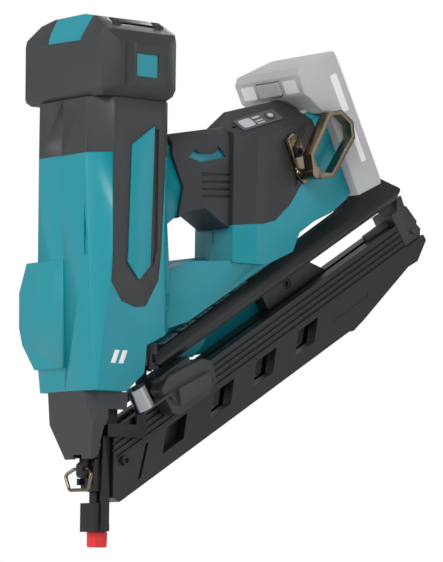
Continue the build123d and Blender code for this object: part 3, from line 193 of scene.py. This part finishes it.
class MaterialLibrary:
    """Builds each finish once and hands it out."""

    def __init__(self) -> None:
        """Starts with nothing built."""
        self._made: dict[str, bpy.types.Material] = {}

    def get(self, finish: Finish) -> bpy.types.Material:
        """The material of a finish.

        Args:
            finish: What the piece is made of.

        Returns:
            The material, built on first use.
        """
        if finish.name not in self._made:
            self._made[finish.name] = self._build(finish)
        return self._made[finish.name]

    @staticmethod
    def _texture(tree: bpy.types.NodeTree, finish: Finish,
                 place: bpy.types.NodeSocket) -> bpy.types.NodeSocket:
        """The height pattern of a finish, as a socket."""
        scale = 1000.0 / finish.grain_mm
        if finish.grain is Grain.BRUSHED:
            turned = add_node(tree, "ShaderNodeMapping",
                              {"Vector": place, "Rotation": (0.0, MAGAZINE_ANGLE, 0.0),
                               "Scale": (0.02, 1.0, 1.0)})
            place = turned.outputs["Vector"]
        if finish.grain is Grain.SOFT:
            pebble = add_node(tree, "ShaderNodeTexVoronoi", {"Vector": place, "Scale": scale},
                              feature="SMOOTH_F1")
            return pebble.outputs["Distance"]
        noise = add_node(tree, "ShaderNodeTexNoise",
                         {"Vector": place, "Scale": scale, "Detail": 3.0, "Roughness": 0.6})
        return noise.outputs["Fac"]

    def _build(self, finish: Finish) -> bpy.types.Material:
        """Builds the node graph of a finish."""
        material = bpy.data.materials.new(finish.name)
        material.use_nodes = True
        tree = material.node_tree
        tree.nodes.clear()
        place = add_node(tree, "ShaderNodeTexCoord").outputs["Object"]
        height = self._texture(tree, finish, place)
        drift = add_node(tree, "ShaderNodeTexNoise",
                         {"Vector": place, "Scale": 1000.0 / DRIFT_MM, "Detail": 3.0})
        rough = add_node(tree, "ShaderNodeMapRange",
                         {"Value": drift.outputs["Fac"], "From Min": 0.3, "From Max": 0.7,
                          "To Min": finish.roughness - finish.mottle,
                          "To Max": finish.roughness + finish.mottle})
        colour = linear(finish.colour)
        deep = tuple(c * DEEPEST for c in colour[:3]) + (1.0,)
        tint = add_node(tree, "ShaderNodeMix", {"Factor": drift.outputs["Fac"]}, data_type="RGBA")
        # the colour sockets of a mix node follow its number and vector sockets
        tint.inputs[6].default_value = colour
        tint.inputs[7].default_value = deep
        bump_inputs = {"Height": height, "Distance": finish.depth_mm * MM, "Strength": BUMP_STRENGTH}
        if finish.edge_mm > 0:
            bevel = add_node(tree, "ShaderNodeBevel", {"Radius": finish.edge_mm * MM}, samples=4)
            bump_inputs["Normal"] = bevel.outputs["Normal"]
        bump = add_node(tree, "ShaderNodeBump", bump_inputs)
        shader = add_node(tree, "ShaderNodeBsdfPrincipled",
                          {"Base Color": tint.outputs[2], "Roughness": rough.outputs["Result"],
                           "Metallic": finish.metallic, "Coat Weight": finish.coat,
                           "Normal": bump.outputs["Normal"]})
        add_node(tree, "ShaderNodeOutputMaterial", {"Surface": shader.outputs["BSDF"]})
        return material


# ------------------------------------------------------------------ meshes
class MeshKit:
    """Makes objects at the origin from numpy points, with their finish and shading."""

    def __init__(self, materials: MaterialLibrary) -> None:
        self.materials = materials

    def make(self, name: str, points: np.ndarray, faces: list, finish: Finish,
             smooth_deg: float = 35.0) -> bpy.types.Object:
        """Makes one mesh object.

        Args:
            name: Object name.
            points: N x 3 points in metres.
            faces: Lists of point numbers.
            finish: Its material.
            smooth_deg: Edges flatter than this are shaded smooth.

        Returns:
            The object, linked to the scene.
        """
        mesh = bpy.data.meshes.new(name)
        mesh.from_pydata(np.asarray(points, float).tolist(), [], faces)
        mesh.validate()
        mesh.update()
        mesh.polygons.foreach_set("use_smooth", np.ones(len(mesh.polygons), bool))
        mesh.set_sharp_from_angle(angle=math.radians(smooth_deg))
        mesh.materials.append(self.materials.get(finish))
        piece = bpy.data.objects.new(name, mesh)
        bpy.context.scene.collection.objects.link(piece)
        return piece

    def plate(self, name: str, outline: np.ndarray, frame_axes: tuple, thickness: float,
              finish: Finish) -> bpy.types.Object:
        """Makes a thin plate from an outline on a plane.

        Args:
            name: Object name.
            outline: N x 2 points on the plane, mm.
            frame_axes: (origin, x axis, y axis), origin in metres.
            thickness: Plate thickness, mm.
            finish: Its material.

        Returns:
            The plate.
        """
        origin, x_axis, y_axis = (np.asarray(v, float) for v in frame_axes)
        x_axis, y_axis = x_axis / np.linalg.norm(x_axis), y_axis / np.linalg.norm(y_axis)
        normal = np.cross(x_axis, y_axis)
        outline = np.asarray(outline, float) * MM
        base = origin + outline[:, :1] * x_axis + outline[:, 1:] * y_axis
        top = base + normal * thickness * MM
        count = len(outline)
        sides = [(i, (i + 1) % count, count + (i + 1) % count, count + i) for i in range(count)]
        caps = [tuple(range(count))[::-1], tuple(range(count, 2 * count))]
        return self.make(name, np.vstack((base, top)), sides + caps, finish)


def grid_faces(rows: int, columns: int, closed: bool = True) -> list:
    """Quads of a grid of points.

    Args:
        rows: Rows of points.
        columns: Points in each row.
        closed: Whether each row is a ring.

    Returns:
        The faces.
    """
    row, column = np.meshgrid(np.arange(rows - 1), np.arange(columns if closed else columns - 1),
                              indexing="ij")
    here, beside = row * columns + column, row * columns + (column + 1) % columns
    return np.stack((here, beside, beside + columns, here + columns), -1).reshape(-1, 4).tolist()


def mag(u: float, y: float, v: float) -> np.ndarray:
    """A point, or a row of points, along, beside and across the magazine, mm in and metres out."""
    c, s = math.cos(MAGAZINE_ANGLE), math.sin(MAGAZINE_ANGLE)
    local = np.broadcast_arrays(u * c - v * s, y, u * s + v * c)
    return MAGAZINE_ORIGIN + np.stack(local, -1) * MM


def pack(n: float, y: float, h: float) -> np.ndarray:
    """A point out of, beside and up the battery pack, mm in and metres out."""
    c, s = math.cos(PACK_ANGLE), math.sin(PACK_ANGLE)
    return PACK_ORIGIN + np.array((n * c - h * s, y, n * s + h * c)) * MM


def near_face(node_name: str, x: float, z: float) -> tuple:
    """The plane of a CAD node's left-hand surface where a line along Y meets it.

    Args:
        node_name: The CAD node.
        x: Where the line is, mm.
        z: Where the line is, mm.

    Returns:
        The point met, and the plane's X-ward and Z-ward axes.
    """
    bpy.context.view_layer.update()
    start, along = Vector((x * MM, -1.0, z * MM)), Vector((0.0, 1.0, 0.0))
    spot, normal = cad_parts[node_name].ray_cast(start, along)[1:3]
    x_axis = Vector((0.0, 0.0, 1.0)).cross(normal).normalized()
    return tuple(spot), tuple(x_axis), tuple(normal.cross(x_axis))


def ellipse(centre: tuple, half: tuple, count: int = 32) -> np.ndarray:
    """Points round an ellipse."""
    turn = np.linspace(0, 2 * math.pi, count, endpoint=False)
    return np.stack((centre[0] + half[0] * np.cos(turn), centre[1] + half[1] * np.sin(turn)), -1)


def rounded(centre: tuple, half: tuple, radius: float, steps: int = 6) -> np.ndarray:
    """Points round a rectangle with round corners."""
    points = []
    for corner, (sx, sy) in enumerate(((1, 1), (-1, 1), (-1, -1), (1, -1))):
        turn = np.linspace(0, math.pi / 2, steps) + corner * math.pi / 2
        points.append(np.stack((centre[0] + sx * (half[0] - radius) + radius * np.cos(turn),
                                centre[1] + sy * (half[1] - radius) + radius * np.sin(turn)), -1))
    return np.vstack(points)


MAG_U = np.array((math.cos(MAGAZINE_ANGLE), 0.0, math.sin(MAGAZINE_ANGLE)))
MAG_V = np.array((-math.sin(MAGAZINE_ANGLE), 0.0, math.cos(MAGAZINE_ANGLE)))
PACK_N = np.array((math.cos(PACK_ANGLE), 0.0, math.sin(PACK_ANGLE)))
PACK_H = np.array((-math.sin(PACK_ANGLE), 0.0, math.cos(PACK_ANGLE)))


def weigh_outer_edges(mesh: bpy.types.Mesh, least_deg: float = 14.0, sharp_deg: float = SHARP_DEG,
                      parting_mm: float = 0.6) -> None:
    """Marks the convex edges that a mould rounds, and leaves the parting line sharp.

    The mesh keeps a copy of each vertex for every face round it, so edges are paired by place.

    Args:
        mesh: A CAD node's mesh.
        least_deg: Edges flatter than this stay as they are.
        sharp_deg: Edges steeper than this are shaded sharp.
        parting_mm: Edges this close to the parting plane stay sharp.
    """
    points = np.empty(len(mesh.vertices) * 3)
    mesh.vertices.foreach_get("co", points)
    points = points.reshape(-1, 3)
    ends = np.empty(len(mesh.edges) * 2, int)
    mesh.edges.foreach_get("vertices", ends)
    ends = ends.reshape(-1, 2)
    normals, centres = np.empty((2, len(mesh.polygons) * 3))
    mesh.polygons.foreach_get("normal", normals)
    mesh.polygons.foreach_get("center", centres)
    normals, centres = normals.reshape(-1, 3), centres.reshape(-1, 3)
    totals = np.empty(len(mesh.polygons), int)
    mesh.polygons.foreach_get("loop_total", totals)
    edge_of_loop = np.empty(len(mesh.loops), int)
    mesh.loops.foreach_get("edge_index", edge_of_loop)
    face_of_loop = np.repeat(np.arange(len(totals)), totals)
    place = np.unique(np.round(points / WELD), axis=0, return_inverse=True)[1].reshape(-1)
    pair = np.unique(np.sort(place[ends], axis=1), axis=0, return_inverse=True)[1].reshape(-1)
    order = np.argsort(pair[edge_of_loop], kind="stable")
    counts = np.bincount(pair[edge_of_loop], minlength=pair.max() + 1)
    starts = np.cumsum(counts) - counts
    shared = np.flatnonzero(counts == 2)
    first, second = face_of_loop[order[starts[shared]]], face_of_loop[order[starts[shared] + 1]]
    cosine = np.einsum("ij,ij->i", normals[first], normals[second])
    convex = np.einsum("ij,ij->i", centres[second] - centres[first], normals[first]) < -1e-7
    near = np.zeros(pair.max() + 1, bool)
    near[pair] = np.abs(points[ends, 1]).max(1) < parting_mm * MM
    rounded_edge = (cosine < math.cos(math.radians(least_deg))) & convex & ~near[shared]
    weights, sharp = np.zeros(pair.max() + 1), np.zeros(pair.max() + 1, bool)
    weights[shared[rounded_edge]] = 1.0
    sharp[shared[(cosine < math.cos(math.radians(sharp_deg))) & ~rounded_edge]] = True
    mesh.attributes.new("bevel_weight_edge", "FLOAT", "EDGE").data.foreach_set("value", weights[pair])
    layer = mesh.attributes.get("sharp_edge") or mesh.attributes.new("sharp_edge", "BOOLEAN", "EDGE")
    layer.data.foreach_set("value", sharp[pair])


# ------------------------------------------------------------------ sub-assemblies
@dataclass
class SubAssembly:
    """A named group of CAD nodes with the finish each one takes.

    Attributes:
        kit: Makes meshes and materials.
        finishes: CAD node to finish.
        rounding: CAD node to the width of its real edge rounding, mm.
    """

    kit: MeshKit
    finishes: dict[str, Finish] = field(default_factory=dict)
    rounding: dict[str, float] = field(default_factory=dict)

    def dress(self) -> None:
        """Gives every CAD node of the group its material, shading and edge rounding."""
        for name, finish in self.finishes.items():
            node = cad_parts[name]
            node.data.materials.clear()
            node.data.materials.append(self.kit.materials.get(finish))
            node.data.polygons.foreach_set("use_smooth", np.ones(len(node.data.polygons), bool))
            node.data.set_sharp_from_angle(angle=math.radians(SHARP_DEG))
            width = self.rounding.get(name, 0.0)
            if width > 0:
                weigh_outer_edges(node.data)
                node.modifiers.new("joined corners", "WELD").merge_threshold = WELD
                bevel = node.modifiers.new("edge rounding", "BEVEL")
                bevel.width = width * MM
                bevel.segments = 3
                bevel.limit_method = "WEIGHT"
                bevel.harden_normals = True

    def detail(self) -> None:
        """Adds the pieces that CAD keeps plain. Groups without any do nothing."""

    def build(self) -> None:
        """Dresses the group and adds its details."""
        self.dress()
        self.detail()
        LOG.info("%s dressed, %d nodes", type(self).__name__, len(self.finishes))

    def put(self, piece: bpy.types.Object, body: str, slot: str) -> bpy.types.Object:
        """Makes a piece ride on a body."""
        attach(piece, body)
        return piece


class Casing(SubAssembly):
    """Head, handle and base mouldings with the cap."""

    mark_x: float = -12.0
    mark_z: float = 128.0
    mark_pitch: float = 6.5
    mark_width: float = 4.0

    def detail(self) -> None:
        """Adds the two slanted marks low on the head's side."""
        axes = near_face("housing_left", self.mark_x, self.mark_z)
        run = np.array((3.0, 9.0))
        for index in range(2):
            low = np.array((-5.5 + self.mark_pitch * index, -run[1] / 2))
            side = np.array((self.mark_width, 0.0))
            outline = np.array((low, low + side, low + side + run, low + run))
            mark = self.kit.plate(f"head_mark_{index + 1}", outline, axes, PROUD, LABEL_WHITE)
            self.put(mark, "frame", "light_grey_plastic")


class Magazine(SubAssembly):
    """Slanted magazine with its arm, labels and raised sign."""

    arm_profile = ((82.0, 144.0, 284.0), (72.5, 74.0, 76.5))   # along, and height of the upper face
    arm_middle_y: float = -6.1
    film_gap: float = 0.02
    label_half = (7.4, 4.4)
    label_corner: float = 1.2
    sign_u = (104, 122, 140, 158)
    ban_u: float = 176
    gauge_u: float = 199

    def arm_top(self, u: float) -> float:
        """Height of the arm's upper face across the magazine, mm."""
        return float(np.interp(u, *self.arm_profile))

    def label(self, name: str, u: float, outline: np.ndarray, finish: Finish, layer: int = 1) -> None:
        """Lays one printed shape on the arm's upper face.

        Args:
            name: Piece name.
            u: Its middle along the magazine, mm.
            outline: Its shape, along and across the arm, mm.
            finish: Its material.
            layer: 1 for the film itself, more for a print over it.
        """
        slope = (self.arm_top(u + 2) - self.arm_top(u - 2)) / 4
        origin = mag(u, self.arm_middle_y, self.arm_top(u) + self.film_gap + PROUD * (layer - 1))
        axes = (origin, MAG_U + slope * MAG_V, (0, 1, 0))
        piece = self.kit.plate(name, outline, axes, PROUD, finish)
        self.put(piece, "frame", "light_grey_plastic")

    def detail(self) -> None:
        """Adds the arm's pictograms and the raised nail sign on the side plate."""
        film = rounded((0, 0), self.label_half, self.label_corner)
        nail = np.array(((-5, -.6), (3, -.6), (3, -2.2), (4.2, -2.2), (4.2, 2.2), (3, 2.2),
                         (3, .6), (-5, .6), (-6.2, 0)))
        for index, u in enumerate(self.sign_u):
            self.label(f"arm_label_{index + 1}", u, film, LABEL_WHITE)
            if index % 2:
                self.label(f"arm_sign_{index + 1}", u, ellipse((0, 0), (3.2, 3.2)), LABEL_BLACK, 2)
                self.label(f"arm_dot_{index + 1}", u, ellipse((0, 0), (1.5, 1.5)), LABEL_WHITE, 3)
            else:
                self.label(f"arm_sign_{index + 1}", u, nail, LABEL_BLACK, 2)
        self.label("arm_label_5", self.ban_u, film, LABEL_WHITE)
        self.label("arm_ring_5", self.ban_u, ellipse((0, 0), (3.9, 3.9)), LABEL_RED, 2)
        self.label("arm_hole_5", self.ban_u, ellipse((0, 0), (2.9, 2.9)), LABEL_WHITE, 3)
        slash = np.array(((-2.6, 1.6), (1.6, -2.6), (2.6, -1.6), (-1.6, 2.6)))
        self.label("arm_slash_5", self.ban_u, slash, LABEL_RED, 4)
        self.label("arm_label_6", self.gauge_u, rounded((0, 0), (10.5, 4.6), self.label_corner),
                   LABEL_GREEN)
        for index in range(3):
            bar = rounded((-4 + 4 * index, 0), (1.1, 2.6 - 0.5 * index), 0.4)
            self.label(f"arm_bar_{index + 1}", self.gauge_u, bar, LABEL_WHITE, 2)
        # raised sign: a nail's outline on the near side plate
        side = (mag(258, -12.0, 12.5), MAG_U, MAG_V)
        shank = np.array(((-22, -1.0), (14, -1.0), (14, -3.6), (16.5, -3.6), (16.5, 3.6), (14, 3.6),
                          (14, 1.0), (-22, 1.0), (-25, 0)))
        sign = self.kit.plate("magazine_sign", shank, side, 0.4, ANODISED)
        self.put(sign, "frame", "magazine_black")


class SpringPusher(SubAssembly):
    """Pusher with its coiled spring and the strip that unrolls from it."""

    roll_place = (50.0, -25.0, 56.0)   # along, beside and across the magazine
    coil_radii = (2.5, 7.15)
    coil_half_length: float = 7.9
    coil_turns: int = 13
    turn_steps: int = 40
    band_thickness: float = 0.2
    strip_y = (-17.4, -17.15)
    strip_v = (56.1, 62.5)
    strip_steps: int = 60

    def detail(self) -> None:
        """Winds the coil and lays the strip."""
        self._coil()
        self._strip()

    def _band(self, name: str, corners: list) -> bpy.types.Object:
        """Makes a steel band from the four long edges of its section."""
        count = len(corners[0])
        faces = grid_faces(count, 4)
        faces += [(0, 1, 2, 3), tuple(4 * (count - 1) + i for i in (3, 2, 1, 0))]
        return self.kit.make(name, np.stack(corners, 1).reshape(-1, 3), faces, STEEL)

    def _coil(self) -> None:
        """The band's turns on the pusher's axle."""
        count = self.coil_turns * self.turn_steps
        turn = np.linspace(0, self.coil_turns * 2 * math.pi, count)
        radius = np.linspace(*self.coil_radii, count)
        beside = np.array((0.0, 1.0, 0.0))
        rows = []
        for height, wall in ((-1, 0.0), (1, 0.0), (1, self.band_thickness), (-1, self.band_thickness)):
            reach = radius - wall
            ring = (np.cos(turn) * reach)[:, None] * MAG_U + (np.sin(turn) * reach)[:, None] * beside
            rows.append(mag(*self.roll_place) + (ring + height * self.coil_half_length * MAG_V) * MM)
        coil = self._band("spring_coil", rows)
        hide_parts("spring_roll")
        self.put(coil, "roll", "bare_steel")

    def _strip(self) -> None:
        """The band's straight run, from the roll to its fixed end at the nose."""
        box_low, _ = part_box("spring_strip")
        slope = math.tan(MAGAZINE_ANGLE)
        first_x = (box_low.x - MAGAZINE_ORIGIN[0]) / MM + 0.1
        rows = []
        for y, v in ((0, 0), (1, 0), (1, 1), (0, 1)):
            height = self.strip_v[v]
            first = first_x / math.cos(MAGAZINE_ANGLE) + height * slope
            line = np.linspace(self.roll_place[0], first, self.strip_steps)
            rows.append(mag(line, self.strip_y[y], height))
        strip = self._band("spring_band", rows)
        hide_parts("spring_strip")
        tuple(mag(38, -17.3, 59))
        tuple(mag(49, -17.3, 59))
        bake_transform(strip)


class ModePanel(SubAssembly):
    """Membrane panel on the base's sloping shoulder."""

    shoulder = (-0.25, -0.62, 0.74)    # the shoulder's slope
    ridge = (115.0, -29.0, 290.0)      # a point on it, mm
    middle = (121.0, -17.0)
    panel_proud: float = 0.82
    key_proud: float = 0.8

    def detail(self) -> None:
        """Prints the panel's plain fields."""
        lean = np.array(self.shoulder)
        normal = lean / np.linalg.norm(lean)
        x_axis = np.array((lean[2], 0.0, -lean[0])) / math.hypot(lean[2], lean[0])
        y_axis = np.cross(normal, x_axis)
        rise = self.ridge[2] + ((self.middle[0] - self.ridge[0]) * -lean[0]
                                + (self.middle[1] - self.ridge[1]) * -lean[1]) / lean[2]
        origin = (np.array((*self.middle, rise)) + normal * self.panel_proud) * MM
        axes = (origin, x_axis, y_axis)
        shapes = (("panel_field", rounded((-10.5, 0), (5.6, 4.6), 2.2), PANEL_LIGHT),
                  ("panel_ring", rounded((0, 3.0), (3.4, 1.1), 0.5), PANEL_LIGHT),
                  ("panel_bar", rounded((0, -1.0), (3.4, 0.7), 0.3), PANEL_LIGHT),
                  ("panel_bar_low", rounded((0, -3.6), (3.4, 0.7), 0.3), PANEL_LIGHT))
        for name, outline, finish in shapes:
            self.put(self.kit.plate(name, outline, axes, PROUD, finish), "frame", "panel_grey")
        key_axes = (origin + normal * self.key_proud * MM, x_axis, y_axis)
        sign = self.kit.plate("key_sign", ellipse((11, 0), (2.2, 2.2)), key_axes, 0.1, PANEL_LIGHT)
        self.put(sign, "mode_key", "panel_grey")


class BatteryPack(SubAssembly):
    """Slide-on pack with its release button and plain prints."""

    front_n: float = -15.0
    front_h: float = 39.0
    side_y: float = -37.0

    def detail(self) -> None:
        """Adds the pale front panel and the side print."""
        front = (pack(self.front_n, 0, self.front_h), (0, -1, 0), PACK_H)
        side = (pack(0, self.side_y, 0), PACK_N, PACK_H)
        prints = (("pack_panel_1", rounded((-24.0, 0), (7.5, 5.0), 1.2), front),
                  ("pack_panel_2", rounded((24.0, 0), (7.5, 5.0), 1.2), front),
                  ("pack_stripe", rounded((14.5, 22), (3.2, 14), 1.0), side),
                  ("pack_stripe_low", rounded((14.5, -16), (2.4, 14), 1.0), side))
        for name, outline, axes in prints:
            plate = self.kit.plate(name, outline, axes, PROUD, PACK_WHITE)
            self.put(plate, "battery", "light_grey_plastic")


# ------------------------------------------------------------------ studio
@dataclass(frozen=True)
class AreaLight:
    """One soft box.

    Attributes:
        name: Light name.
        place: Where it stands, metres.
        size: Side length, metres.
        power: Watts.
    """

    name: str
    place: tuple[float, float, float]
    size: float
    power: float


@dataclass
class Studio:
    """Floor, lights and camera."""

    kit: MeshKit
    azimuth: float = -37.0
    elevation: float = -5.0
    roll: float = -0.7
    distance: float = 2.6
    lens_mm: float = 244.5
    aim_right: float = 0.0848
    aim_up: float = 0.1815
    floor_z: float = -0.16
    lights: tuple[AreaLight, ...] = (
        AreaLight("key", (-1.6, -1.3, 1.7), 1.0, 34.0),
        AreaLight("fill", (1.0, -2.0, 0.4), 1.4, 5.0),
        AreaLight("rim", (1.5, 0.9, 1.3), 0.8, 20.0),
        AreaLight("front", (-2.2, 0.5, 0.3), 0.9, 12.0),
    )

    def build(self) -> None:
        """Builds the whole studio."""
        self._floor()
        self._lamps()
        self._camera()

    def _floor(self) -> None:
        """A pale floor that the tool floats over."""
        half = 6.0
        corners = np.array(((-half, -half, self.floor_z), (half, -half, self.floor_z),
                            (half, half, self.floor_z), (-half, half, self.floor_z)))
        floor = self.kit.make("studio_floor", corners, [(0, 1, 2, 3)], FLOOR)

    def _lamps(self) -> None:
        """Soft boxes all aimed at the tool's middle, and a pale surround."""
        target = Vector((0.1, 0.0, 0.18))
        for light in self.lights:
            data = bpy.data.lights.new(light.name, "AREA")
            data.energy = light.power
            data.size = light.size
            lamp = bpy.data.objects.new(light.name, data)
            lamp.location = light.place
            lamp.rotation_euler = (target - Vector(light.place)).to_track_quat("-Z", "Y").to_euler()
            bpy.context.scene.collection.objects.link(lamp)
        world = bpy.data.worlds.new("pale_surround")
        world.use_nodes = True
        tree = world.node_tree
        background = tree.nodes["Background"]
        background.inputs["Color"].default_value = (1.0, 1.0, 1.0, 1.0)
        seen = add_node(tree, "ShaderNodeLightPath").outputs["Is Camera Ray"]
        level = add_node(tree, "ShaderNodeMapRange", {"Value": seen, "To Min": 0.5, "To Max": 1.0})
        tree.links.new(level.outputs["Result"], background.inputs["Strength"])
        bpy.context.scene.world = world
        bpy.context.scene.view_settings.view_transform = "Standard"

    def _camera(self) -> None:
        """The camera looks up at the tool slightly from its front left."""
        turn, lift, roll = (math.radians(v) for v in (-self.azimuth, self.elevation, self.roll))
        forward = Vector((math.sin(turn) * math.cos(lift), math.cos(turn) * math.cos(lift),
                          -math.sin(lift)))
        right_level = Vector((math.cos(turn), -math.sin(turn), 0.0))
        up_level = right_level.cross(forward)
        right = math.cos(roll) * right_level - math.sin(roll) * up_level
        up = math.sin(roll) * right_level + math.cos(roll) * up_level
        data = bpy.data.cameras.new("view")
        data.lens = self.lens_mm
        data.sensor_width = 36.0
        data.clip_start, data.clip_end = 0.05, 50.0
        camera = bpy.data.objects.new("view", data)
        place = -self.distance * forward + self.aim_right * right + self.aim_up * up
        turned = Matrix((right, up, -forward)).transposed().to_4x4()
        camera.matrix_world = Matrix.Translation(place) @ turned
        bpy.context.scene.collection.objects.link(camera)
        bpy.context.scene.camera = camera


def assemblies(kit: MeshKit) -> list[SubAssembly]:
    """Every sub-assembly of the tool with its finishes.

    Args:
        kit: Makes meshes and materials.

    Returns:
        The sub-assemblies, ready to build.
    """
    casing = Casing(kit, {
        "housing_left": TEAL, "housing_right": TEAL, "shroud_left": BLACK, "shroud_right": BLACK,
        "base_cover_left": BLACK, "base_cover_right": BLACK, "shroud_inlays": TEAL, "cap_badge": TEAL,
        "cap_side_badges": TEAL, "top_cap": CAP_BLACK, "cap_screws": PHOSPHATE,
        "housing_screws": PHOSPHATE, "frame_screws": PHOSPHATE, "grip_left": RUBBER,
        "grip_right": RUBBER, "trigger": BLACK, "trigger_switch": BLACK, "controller_board": BOARD},
        {"top_cap": 2.6, "shroud_inlays": 0.5, "trigger": 0.8, "housing_left": 2.4, "housing_right": 2.4,
         "shroud_left": 1.6, "shroud_right": 1.6, "base_cover_left": 2.0, "base_cover_right": 2.0,
         "grip_left": 0.8, "grip_right": 0.8})
    drive = SubAssembly(kit, {
        "pressure_chamber": ALUMINIUM, "drive_cylinder": ALUMINIUM, "bumper": SEAL, "piston": ALUMINIUM,
        "piston_seals": SEAL, "driver_blade": STEEL, "lifter_wheel": STEEL, "lifter_pins": STEEL,
        "planet_carrier": STEEL, "planet_gears": STEEL, "gearbox_case": STEEL, "shaft_bearings": STEEL,
        "motor_stator": STEEL, "motor_windings": COPPER, "motor_rotor": STEEL, "cooling_fan": BLACK})
    nose = SubAssembly(kit, {
        "driver_guide": PHOSPHATE, "nose_cover": BLACK, "latch_pin": STEEL, "latch_lever": PHOSPHATE,
        "wire_bail": BRONZE, "nose_door": PHOSPHATE, "contact_foot": PHOSPHATE, "no_mar_tip": RED_RUBBER,
        "depth_dial": BLACK}, {"contact_foot": 0.3, "no_mar_tip": 0.5, "latch_lever": 0.3})
    magazine = Magazine(kit, {
        "magazine_side_left": ANODISED, "magazine_side_right": ANODISED, "magazine_rail_left": ANODISED,
        "magazine_rail_right": ANODISED, "magazine_tail": BLACK, "magazine_arm": ANODISED,
        "arm_bracket": BLACK}, {"magazine_arm": 0.6, "magazine_tail": 0.5})
    pusher = SpringPusher(kit, {"pusher": BLACK, "spring_roll": STEEL, "spring_strip": STEEL},
                          {"pusher": 0.8})
    panel = ModePanel(kit, {"status_panel": PANEL, "mode_button": PANEL})
    hook = SubAssembly(kit, {"belt_hook": BRONZE, "hook_bracket": BRONZE}, {"belt_hook": 0.7,
                                                                            "hook_bracket": 0.4})
    battery = BatteryPack(kit, {"battery_pack": PACK_GREY, "battery_cells": CELL,
                                "battery_button": PACK_GREY}, {"battery_pack": 1.2,
                                                               "battery_button": 0.6})
    return [casing, drive, nose, magazine, pusher, panel, hook, battery]


def main() -> None:
    """Builds the tool's looks and the studio."""
    logging.basicConfig(level=logging.INFO, format="%(name)s: %(message)s")
    kit = MeshKit(MaterialLibrary())
    groups = assemblies(kit)
    for group in groups:
        group.build()
    dressed = {name for group in groups for name in group.finishes}
    LOG.info("CAD nodes with no finish: %s", sorted(set(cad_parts) - dressed))
    Studio(kit).build()


if __name__ == "__main__":
    main()
